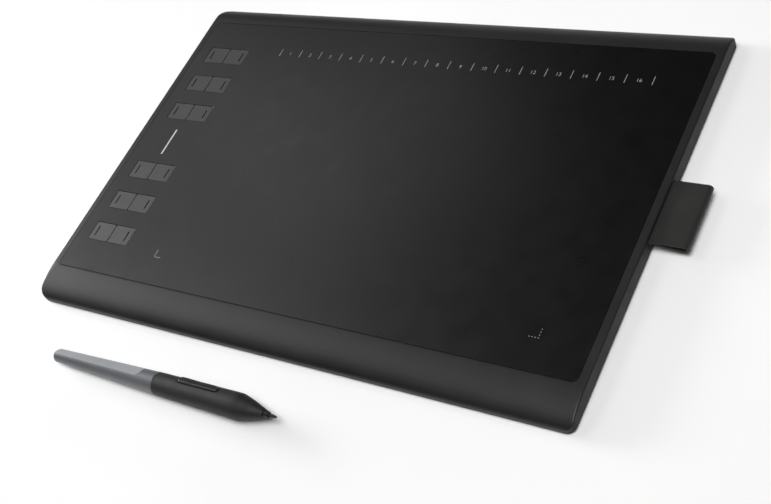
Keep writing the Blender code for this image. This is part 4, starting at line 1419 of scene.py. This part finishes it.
@dataclass
class UsbSocket:
    """Pressed steel shell with a tongue that carries the contacts."""

    y: float = 95.0
    bottom: float = 4.3
    depth: float = 9.0
    width: float = 8.4
    height: float = 3.1
    sheet: float = 0.4
    tongue: tuple[float, float, float] = (6.0, 5.6, 0.7)
    side: float = -179.7
    contacts: int = 5
    contact_pitch: float = 0.9
    contact_size: tuple[float, float] = (0.45, 0.14)
    contact_inset: float = 0.4
    mouth_radius: float = 0.9
    shell_radius: float = 0.8
    cavity_radius: float = 0.5
    tongue_radius: float = 0.2
    contact_radius: float = 0.05
    shell_edge: float = 0.07
    tongue_edge: float = 0.08
    bite: float = 0.1

    def middle(self) -> tuple[float, float]:
        """Centre of the mouth across and up."""
        return self.y, self.bottom + self.height / 2

    def mouth(self) -> Mouth:
        """The opening that it needs in the wall."""
        size = (self.width + 2 * GAP, self.height + 1.5 * GAP)
        return Mouth(self.middle(), size, self.mouth_radius, self.depth)

    def back(self) -> float:
        """Where the cavity ends."""
        return self.side + self.depth - 2 * self.sheet

    def shell(self) -> BMesh:
        """The shell, closed at the back."""
        bm = fresh()
        span = (self.side, self.side + self.depth)
        prism(bm, self.middle(), (self.width, self.height), self.shell_radius, span, 5, SIDEWAYS)
        cavity = fresh()
        inner = (self.width - 2 * self.sheet, self.height - 2 * self.sheet)
        span = (self.side - OVERCUT, self.back())
        prism(cavity, self.middle(), inner, self.cavity_radius, span, 5, SIDEWAYS)
        tidy(bm)
        bm = cut_away(bm, cavity)
        soften(bm, creases(bm, SQUARE), self.shell_edge)
        return bm

    def tongue_block(self) -> BMesh:
        """The moulded tongue inside the shell."""
        bm = fresh()
        span = (self.back() - self.tongue[0], self.back() + self.bite)
        prism(bm, self.middle(), self.tongue[1:], self.tongue_radius, span, 3, SIDEWAYS)
        tidy(bm)
        soften(bm, creases(bm, SQUARE), self.tongue_edge)
        return bm

    def contact_strips(self) -> BMesh:
        """Contacts side by side under the tongue."""
        bm = fresh()
        span = (self.back() - self.tongue[0] + self.contact_inset, self.back())
        y, z = self.middle()
        for number in range(self.contacts):
            place_y = y + (number - (self.contacts - 1) / 2) * self.contact_pitch
            middle = (place_y, z - self.tongue[2] / 2)
            prism(bm, middle, self.contact_size, self.contact_radius, span, 2, SIDEWAYS)
        tidy(bm)
        return bm

    def build(self, place: Matrix) -> None:
        """Makes the socket and puts it in place of its node."""
        mount = Mount("tablet", "socket_steel", ("usb_socket",))
        place_piece("usb_shell", self.shell(), place, [SOCKET_STEEL], mount)
        extra = Mount("tablet", "socket_steel")
        place_piece("usb_tongue", self.tongue_block(), place, [SENSOR_PBT], extra)
        place_piece("usb_contacts", self.contact_strips(), place, [CONTACT_GOLD], extra)


@dataclass
class Underside:
    """Feet with moulded ribs and housing screws with a cross recess."""

    foot_x: float = 150.0
    foot_y: float = 98.0
    foot_size: tuple[float, float] = (36.0, 10.0)
    foot_radius: float = 3.0
    foot_top: float = 1.0
    foot_edge: float = 0.15
    groove: float = 0.3
    grooves: int = 7
    groove_pitch: float = 4.2
    groove_width: float = 0.9
    groove_radius: float = 0.43
    groove_margin: float = 1.5
    screw_x: tuple[float, ...] = (-172.0, 0.0, 172.0)
    screw_y: tuple[float, ...] = (-104.0, 108.0)
    head_radius: float = 2.1
    head_z: tuple[float, float] = (1.0, 1.9)
    shank_radius: float = 0.85
    tip_z: float = 6.6
    root_share: float = 0.8
    tip_share: float = 0.6
    tip_length: float = 0.5
    thread_pitch: float = 0.4
    thread_start: float = 0.5
    thread_stop: float = 0.9
    root_step: float = 0.1
    crest_step: float = 0.3
    head_round: tuple[float, float] = (0.2, 0.25)
    cross: float = 0.55
    cross_reach: float = 1.35
    cross_depth: float = 0.55
    cross_radius: float = 0.1

    def foot(self, x: float, y: float) -> BMesh:
        """Makes a rubber foot with shallow grooves across its tread.

        Args:
            x: its middle along the tablet.
            y: its middle across it.

        Returns:
            The foot.
        """
        bm = fresh()
        prism(bm, (x, y), self.foot_size, self.foot_radius, (0.0, self.foot_top), 8)
        tidy(bm)
        cutter = fresh()
        for number in range(self.grooves):
            middle = x + (number - (self.grooves - 1) / 2) * self.groove_pitch
            size = (self.groove_width, self.foot_size[1] - 2 * self.groove_margin)
            prism(cutter, (middle, y), size, self.groove_radius, (-1.0, self.groove), 4)
        bm = cut_away(bm, cutter)
        # The outer edges lie further out than the grooves' ends, or at the top.
        out, up = self.foot_size[1] / 2 - self.groove_margin + 0.1, self.foot_top - 0.1
        outer = creases(bm, SQUARE, lambda point: abs(point.y - y) > out or point.z > up)
        soften(bm, outer, self.foot_edge)
        return bm

    def screw(self, x: float, y: float) -> BMesh:
        """Makes a pan-head screw, head down, with its thread as fine rings.

        Args:
            x: its middle along the tablet.
            y: its middle across it.

        Returns:
            The screw.
        """
        low, high = self.head_z
        shank, head = self.shank_radius, self.head_radius
        rings = []
        turn = high + self.thread_start
        while turn < self.tip_z - self.thread_stop:
            root = (shank * self.root_share, turn + self.root_step)
            rings = [(shank, turn + self.crest_step), root, *rings]
            turn += self.thread_pitch
        profile = [(0.0, self.tip_z), (shank * self.tip_share, self.tip_z - self.tip_length), *rings]
        profile += [(shank, high), (head, high), (head, low + self.head_round[1])]
        profile += [(head - self.head_round[0], low), (0.0, low)]
        bm = turned(profile, 32)
        long, short = 2 * self.cross_reach, self.cross
        for size in ((long, short), (short, long)):
            cutter = fresh()
            prism(cutter, (0, 0), size, self.cross_radius, (0.0, low + self.cross_depth), 2)
            bm = cut_away(bm, cutter)
        bmesh.ops.translate(bm, verts=bm.verts, vec=(x, y, 0.0))
        return bm

    def build(self, place: Matrix) -> None:
        """Makes the feet and screws and puts each in place of its node."""
        spots = [(side * self.foot_x, rear * self.foot_y) for rear in (-1, 1) for side in (-1, 1)]
        for number, (x, y) in enumerate(spots, 1):
            mount = Mount("tablet", "foot_rubber", (f"foot_{number}",))
            place_piece(f"foot_pad_{number}", self.foot(x, y), place, [FOOT_RUBBER], mount)
        points = [(x, y) for y in self.screw_y for x in self.screw_x]
        for number, (x, y) in enumerate(points, 1):
            mount = Mount("tablet", "screw_steel", (f"housing_screw_{number}",))
            place_piece(f"screw_{number}", self.screw(x, y), place, [SCREW_STEEL], mount)


# ------------------------------------------------------------------ pen


@dataclass
class Barrel:
    """Tapered barrel with a long flat that ends in a short ramp."""

    tail_radius: float = 4.0
    tail_round: float = 2.2
    end: float = 83.5
    end_radius: float = 6.4
    bore: float = 2.8
    bore_start: float = 14.0
    socket_radius: float = 4.6
    socket_start: float = 76.7
    flat_end: float = 71.0
    flat_angle: float = 40.0
    flat_half: float = 4.1
    flat_height: float = 3.0
    flat_past: float = 10.0
    flat_edge: float = 0.22
    ramp: float = 2.6
    end_bevel: tuple[float, float] = (0.2, 0.25)
    tail_steps: int = 8
    rows: int = 14

    def radius(self, z: float) -> float:
        """Radius of the barrel, which widens evenly."""
        share = (z - self.tail_round) / (self.end - self.tail_round)
        return self.tail_radius + (self.end_radius - self.tail_radius) * share

    def profile(self) -> list[tuple[float, float]]:
        """Draws the section from the tail round to the bore.

        Returns:
            Its points as (radius, z).
        """
        points = [(0.0, 0.0)]
        for step in range(1, self.tail_steps + 1):
            turn = math.pi / 2 * step / self.tail_steps
            points.append((self.tail_radius * math.sin(turn), self.tail_round * (1.0 - math.cos(turn))))
        for step in range(1, self.rows + 1):
            z = self.tail_round + (self.end - self.end_bevel[1] - self.tail_round) * step / self.rows
            points.append((self.radius(z), z))
        points += [(self.end_radius - self.end_bevel[0], self.end), (self.socket_radius, self.end)]
        points += [(self.socket_radius, self.socket_start), (self.bore, self.socket_start)]
        points += [(self.bore, self.bore_start), (0.0, self.bore_start)]
        return points

    def flat_cutter(self) -> BMesh:
        """Makes what the flat takes away.

        Returns:
            A slab with a round end, whose walls lean out so that the flat ends in a ramp.
        """
        lean = math.cos(math.radians(self.flat_angle))
        start, end = self.radius(0.0) * lean, self.radius(self.flat_end) * lean
        bm = fresh()
        length = self.flat_end + self.flat_past
        middle, size = (0.0, self.flat_end - length / 2), (2 * self.flat_half, length)
        prism(bm, middle, size, self.flat_half, (0.0, self.flat_height), 16, grow=self.ramp)
        tilt = Matrix.Rotation(math.atan2(end - start, self.flat_end), 4, "Y")
        bmesh.ops.transform(bm, matrix=Matrix.Translation((start, 0, 0)) @ tilt @ SIDEWAYS, verts=bm.verts)
        return bm

    def by_flat(self, point: Vector) -> bool:
        """Whether a point lies on the flat's side of the barrel, up to the ramp."""
        return point.x > GAP and point.z < self.flat_end + self.flat_height

    def build(self, place: Matrix) -> None:
        """Makes the barrel and puts it in place of its node."""
        bm = cut_away(turned(self.profile()), self.flat_cutter())
        # Faces of the flat take material 1, the painted highlight; the rest keeps the barrel's own lacquer.
        for face in bm.faces:
            wide = face.calc_area() > self.flat_half * self.flat_end
            face.material_index = int(wide and face.normal.x > 0.95)
        soften(bm, creases(bm, 18, self.by_flat), self.flat_edge, 3)
        mount = Mount("pen", "barrel_plastic", ("pen_barrel",))
        place_piece("pen_barrel_shell", bm, place, [BARREL_LACQUER, FLAT_PAINTED_HIGHLIGHT], mount, 30.0, Flats.ALL)


@dataclass
class Grip:
    """Soft sleeve that widens to its shoulder and closes to the nose, with the rocker's slot."""

    start: float = 83.8
    start_radius: float = 6.4
    widest: float = 143.0
    widest_radius: float = 7.25
    end: float = 159.0
    end_radius: float = 2.5
    spigot_radius: float = 4.3
    spigot_start: float = 77.0
    bore: float = 4.9
    slot: tuple[float, float] = (4.8, 28.6)
    slot_z: float = 114.6
    slot_x: tuple[float, float] = (2.6, 9.5)
    slot_edge: float = 0.25
    rim_x: float = 5.5
    start_bevel: tuple[float, float] = (0.2, 0.25)
    shoulder: float = 2.0
    belly: float = 0.22
    rows: tuple[int, int, int] = (12, 6, 8)
    nose_bore: float = 1.35
    throat: tuple[float, float] = (3.8, 151.0)
    bore_end: float = 141.0
    spigot_wall: float = 1.3
    bore_start: tuple[float, float] = (1.2, 2.2)

    def outside(self) -> list[tuple[float, float]]:
        """Draws the outer line, with a round shoulder between sleeve and cone.

        Returns:
            Its points as (radius, z), from the barrel to the nose.
        """
        sleeve, bend, cone = ([step / count for step in range(count + 1)] for count in self.rows)
        points = [(self.start_radius - self.start_bevel[0], self.start)]
        first, knee = self.start + self.start_bevel[1], self.widest - self.shoulder
        for t in sleeve:
            radius = self.start_radius + (self.widest_radius - self.start_radius) * t
            points.append((radius, first + (knee - first) * t))
        slope = (self.widest_radius - self.end_radius) / (self.end - self.widest)
        for t in bend[1:]:
            radius = self.widest_radius - slope * self.shoulder * t * t
            points.append((radius, knee + 2 * self.shoulder * t))
        radius, z = points[-1]
        for t in cone[1:]:
            belly = self.belly * math.sin(math.pi * t)
            points.append((radius + (self.end_radius - radius) * t + belly, z + (self.end - z) * t))
        return points

    def inside(self) -> list[tuple[float, float]]:
        """Draws the bore from the nose back, and the spigot that goes into the barrel.

        Returns:
            Its points as (radius, z).
        """
        spigot, neck = self.spigot_radius, self.spigot_radius - self.spigot_wall
        close, wide = (self.start + step for step in self.bore_start)
        points = [(self.nose_bore, self.end), self.throat, (self.bore, self.bore_end)]
        points += [(self.bore, wide), (neck, close), (neck, self.spigot_start)]
        return points + [(spigot, self.spigot_start), (spigot, self.start)]

    def build(self, place: Matrix) -> None:
        """Makes the grip and puts it in place of its node."""
        bm = turned(self.outside() + self.inside(), closed=True)
        cutter = fresh()
        radius = self.slot[0] / 2 * ROUND_END
        prism(cutter, (0.0, self.slot_z), self.slot, radius, self.slot_x, 10, SIDEWAYS)
        bm = cut_away(bm, cutter)
        half = self.slot[1] / 2 + 2 * GAP
        rim = creases(bm, 40, lambda point: point.x > self.rim_x and abs(point.z - self.slot_z) < half)
        soften(bm, rim, self.slot_edge)
        mount = Mount("pen", "grip_rubber", ("pen_grip",))
        place_piece("pen_grip_sleeve", bm, place, [GRIP_RUBBER], mount, 30.0)


@dataclass
class Rocker:
    """Long rocker button with a shallow saddle, on its lug."""

    pivot_x: float = 4.3
    pivot_z: float = 114.6
    length: float = 28.0
    width: float = 4.2
    bottom: float = 5.0
    top: float = 7.75
    edge: float = 0.55
    saddle: float = 0.1
    saddle_half: float = 4.0
    saddle_depth: float = 0.6
    saddle_cuts: int = 8
    lug_bottom: float = 3.3
    lug_half: float = 1.5
    lug_inset: float = 0.1
    lug_bite: float = 0.5
    lug_radius: float = 0.4
    bore: float = 0.7

    def build(self, place: Matrix) -> None:
        """Makes the rocker and puts it in place of its node."""
        bm = fresh()
        radius = self.width / 2 * ROUND_END
        size, span = (self.width, self.length), (self.bottom, self.top)
        prism(bm, (0.0, self.pivot_z), size, radius, span, 10, SIDEWAYS)
        tidy(bm)
        soften(bm, creases(bm, SQUARE, lambda point: point.x > self.top - TOUCH), self.edge, 4)
        for step in range(-self.saddle_cuts, self.saddle_cuts + 1):
            slice_across(bm, (0, 0, self.pivot_z + step), (0, 0, 1))
        for corner in bm.verts:
            if corner.co.x > self.top - self.saddle_depth:
                away = (corner.co.z - self.pivot_z) / self.saddle_half
                corner.co.x -= self.saddle * math.exp(-(away**2))
        lug_size = (self.width - 2 * self.lug_inset, 2 * self.lug_half)
        span = (self.lug_bottom, self.bottom + self.lug_bite)
        prism(bm, (0.0, self.pivot_z), lug_size, self.lug_radius, span, 3, SIDEWAYS)
        cutter = fresh()
        made = bmesh.ops.create_cone(
            cutter, cap_ends=True, segments=24, radius1=self.bore, radius2=self.bore, depth=self.width * 2
        )
        seat = Matrix.Translation((self.pivot_x, 0, self.pivot_z)) @ Matrix.Rotation(math.pi / 2, 4, "X")
        bmesh.ops.transform(cutter, matrix=seat, verts=made["verts"])
        bm = cut_away(bm, cutter)
        mount = Mount("pen_rocker", "rocker_plastic", ("pen_rocker",))
        place_piece("pen_rocker_button", bm, place, [ROCKER_ABS], mount, 40.0)


@dataclass
class NibEnd:
    """Stepped collar and the nib that runs through it."""

    nib_radius: float = 0.95
    nib_rear: float = 132.6
    nib_tip: float = 167.0
    tip_radius: float = 0.6
    taper: float = 2.2
    rear_bevel: tuple[float, float] = (0.15, 0.2)
    row_start: float = 2.0
    row_pitch: float = 3.0
    rows: tuple[int, int, int] = (9, 3, 6)
    collar: float = 159.3
    collar_bore: float = 1.25
    collar_steps: tuple[tuple[float, float], ...] = (
        (2.1, 0.0),
        (2.2, 0.1),
        (2.2, 0.75),
        (2.05, 0.85),
        (2.0, 0.9),
        (2.0, 1.75),
        (1.85, 1.85),
        (1.8, 1.9),
        (1.74, 2.6),
        (1.6, 2.7),
    )

    def nib(self) -> BMesh:
        """Makes a straight pin whose tip narrows to a small round point.

        Returns:
            The nib.
        """
        straight, taper, point = self.rows
        rear, radius, tip = self.nib_rear, self.nib_radius, self.tip_radius
        points = [(0.0, rear), (radius - self.rear_bevel[0], rear), (radius, rear + self.rear_bevel[1])]
        points += [(radius, rear + self.row_start + self.row_pitch * step) for step in range(straight)]
        shoulder, ball = self.nib_tip - self.taper, self.nib_tip - tip
        points.append((radius, shoulder))
        for step in range(1, taper + 1):
            share = step / taper
            points.append((radius + (tip - radius) * share, shoulder + (ball - shoulder) * share))
        for step in range(1, point + 1):
            turn = math.pi / 2 * step / point
            points.append((tip * math.cos(turn), ball + tip * math.sin(turn)))
        return turned(points, 48)

    def ring(self) -> BMesh:
        """The collar: three steps down to the nib."""
        outside = [(radius, self.collar + rise) for radius, rise in self.collar_steps]
        low, high = ((self.collar_bore, z) for z in (self.collar, outside[-1][1]))
        return turned([low, *outside, high], 48, closed=True)

    def build(self, place: Matrix) -> None:
        """Makes the nib and its collar and puts each in place of its node."""
        nib_mount = Mount("pen_nib", "nib_plastic", ("pen_nib",))
        place_piece("pen_nib_pin", self.nib(), place, [NIB_ACETAL], nib_mount)
        ring_mount = Mount("pen", "nib_plastic", ("pen_nib_collar",))
        place_piece("pen_collar_ring", self.ring(), place, [NIB_ACETAL], ring_mount)


# ------------------------------------------------------------------ studio


@dataclass(frozen=True)
class Softbox:
    """A rectangular lamp that faces a point. Its sizes are in metres and its power in watts."""

    name: str
    spot: tuple[float, float, float]
    target: tuple[float, float, float]
    size: tuple[float, float]
    power: float

    def build(self) -> None:
        """Hangs the lamp in the scene."""
        lamp = bpy.data.lights.new(self.name, "AREA")
        lamp.shape = "RECTANGLE"
        lamp.size, lamp.size_y = self.size
        lamp.energy = self.power
        obj = bpy.data.objects.new(self.name, lamp)
        bpy.context.scene.collection.objects.link(obj)
        obj.location = self.spot
        facing = Vector(self.target) - Vector(self.spot)
        obj.rotation_euler = facing.to_track_quat("-Z", "Y").to_euler()


# Matt paper, white, with its fibres drawn coarse enough to show.
PAPER = Finish("matt_paper_white", "#fbfbfb", "#f2f2f2", 0.9, 0.03, mottle=400.0, grain=3.0, rub=0.0)


@dataclass
class Studio:
    """Pale floor, soft light and the camera, in metres.

    The surroundings are pale up to just above the horizon and nearly dark higher up.
    """

    floor_half: float = 4.0
    ambient: float = 0.015
    below: float = 0.9
    horizon: tuple[float, float] = (0.04, 0.08)
    spot: tuple[float, float, float] = (0.3937, -0.2950, 0.478)
    right: tuple[float, float, float] = (0.818, 0.426, -0.387)
    back: tuple[float, float, float] = (0.556, -0.411, 0.723)
    lens: float = 57.15
    lamps: tuple[Softbox, ...] = (
        Softbox("overhead", (0.5, -0.5, 2.3), (0.0, 0.0, 0.0), (1.5, 1.5), 51.0),
        Softbox("low_left", (-2.05, 0.15, 0.5), (0.0, 0.0, 0.0), (0.8, 0.35), 28.0),
        Softbox("left_key", (-1.68, 0.35, 1.1), (-0.05, 0.0, 0.0), (1.6, 1.0), 3.0),
        Softbox("back_left", (-1.1, 0.93, 1.22), (0.0, 0.0, 0.0), (0.6, 0.4), 0.7),
        Softbox("front_left", (-1.23, 0.04, 1.58), (0.0, -0.1, 0.0), (0.9, 0.7), 4.5),
        Softbox("rear_strip", (-0.2, 1.2, 0.35), (0.0, 0.1, 0.0), (1.2, 0.25), 0.8),
    )

    def floor(self) -> None:
        """A large level sheet of matt paper."""
        bm = fresh()
        bmesh.ops.create_grid(bm, x_segments=4, y_segments=4, size=self.floor_half)
        obj = as_object("floor", bm)
        obj.data.materials.append(PAPER.material())

    def camera(self) -> None:
        """Sets the camera from its place and axes."""
        back = Vector(self.back).normalized()
        right = Vector(self.right)
        right = (right - back * right.dot(back)).normalized()
        up = back.cross(right)
        data = bpy.data.cameras.new("camera")
        data.lens = self.lens
        data.sensor_width = 36.0
        data.clip_start = 0.01
        obj = bpy.data.objects.new("camera", data)
        turn = Matrix((right, up, back)).transposed().to_4x4()
        obj.matrix_world = Matrix.Translation(self.spot) @ turn
        bpy.context.scene.collection.objects.link(obj)
        bpy.context.scene.camera = obj

    def build(self) -> None:
        """Sets up floor, light, colour and camera."""
        scene = bpy.context.scene
        scene.view_settings.view_transform = "Standard"
        scene.world = bpy.data.worlds.new("studio")
        scene.world.use_nodes = True
        tree = scene.world.node_tree
        ground = tree.nodes["Background"]
        ground.inputs["Color"].default_value = (1.0, 1.0, 1.0, 1.0)
        direction = add_node(tree, "ShaderNodeTexCoord").outputs["Generated"]
        height = add_node(tree, "ShaderNodeSeparateXYZ", {0: direction}).outputs[2]
        light = {0: height, 1: self.horizon[0], 2: self.horizon[1], 3: self.below, 4: self.ambient}
        strength = add_node(tree, "ShaderNodeMapRange", light).outputs[0]
        tree.links.new(strength, ground.inputs["Strength"])
        for lamp in self.lamps:
            lamp.build()
        self.floor()
        self.camera()


def dress_carried_over() -> None:
    """Gives every node that stays visible its own finish."""
    for name, (finish, slot) in CARRIED_OVER.items():
        node = frame["nodes"][name]
        for material_slot in node.material_slots:
            material_slot.material = finish.material()
        LOG.info("%s: carried over in %s", name, finish.name)


def main() -> None:
    """Builds the studio, the tablet and the pen in order."""
    logging.basicConfig(level=logging.INFO, format="%(message)s")
    Studio().build()
    tablet, pen = tablet_place(), pen_place()
    keys, sheet, loop, usb = PressKeys(), DrawingSheet(), PenLoop(), UsbSocket()
    housing = Housing()
    housing.build(tablet, sheet.recess(), housing.openings(keys, loop, [usb.mouth(), CARD_MOUTH]))
    sheet.build(tablet, keys)
    keys.build(tablet)
    Prints().build(tablet)
    loop.build(tablet)
    usb.build(tablet)
    Underside().build(tablet)
    for part in (Barrel(), Grip(), Rocker(), NibEnd()):
        part.build(pen)
    dress_carried_over()


if __name__ == "__main__":
    main()
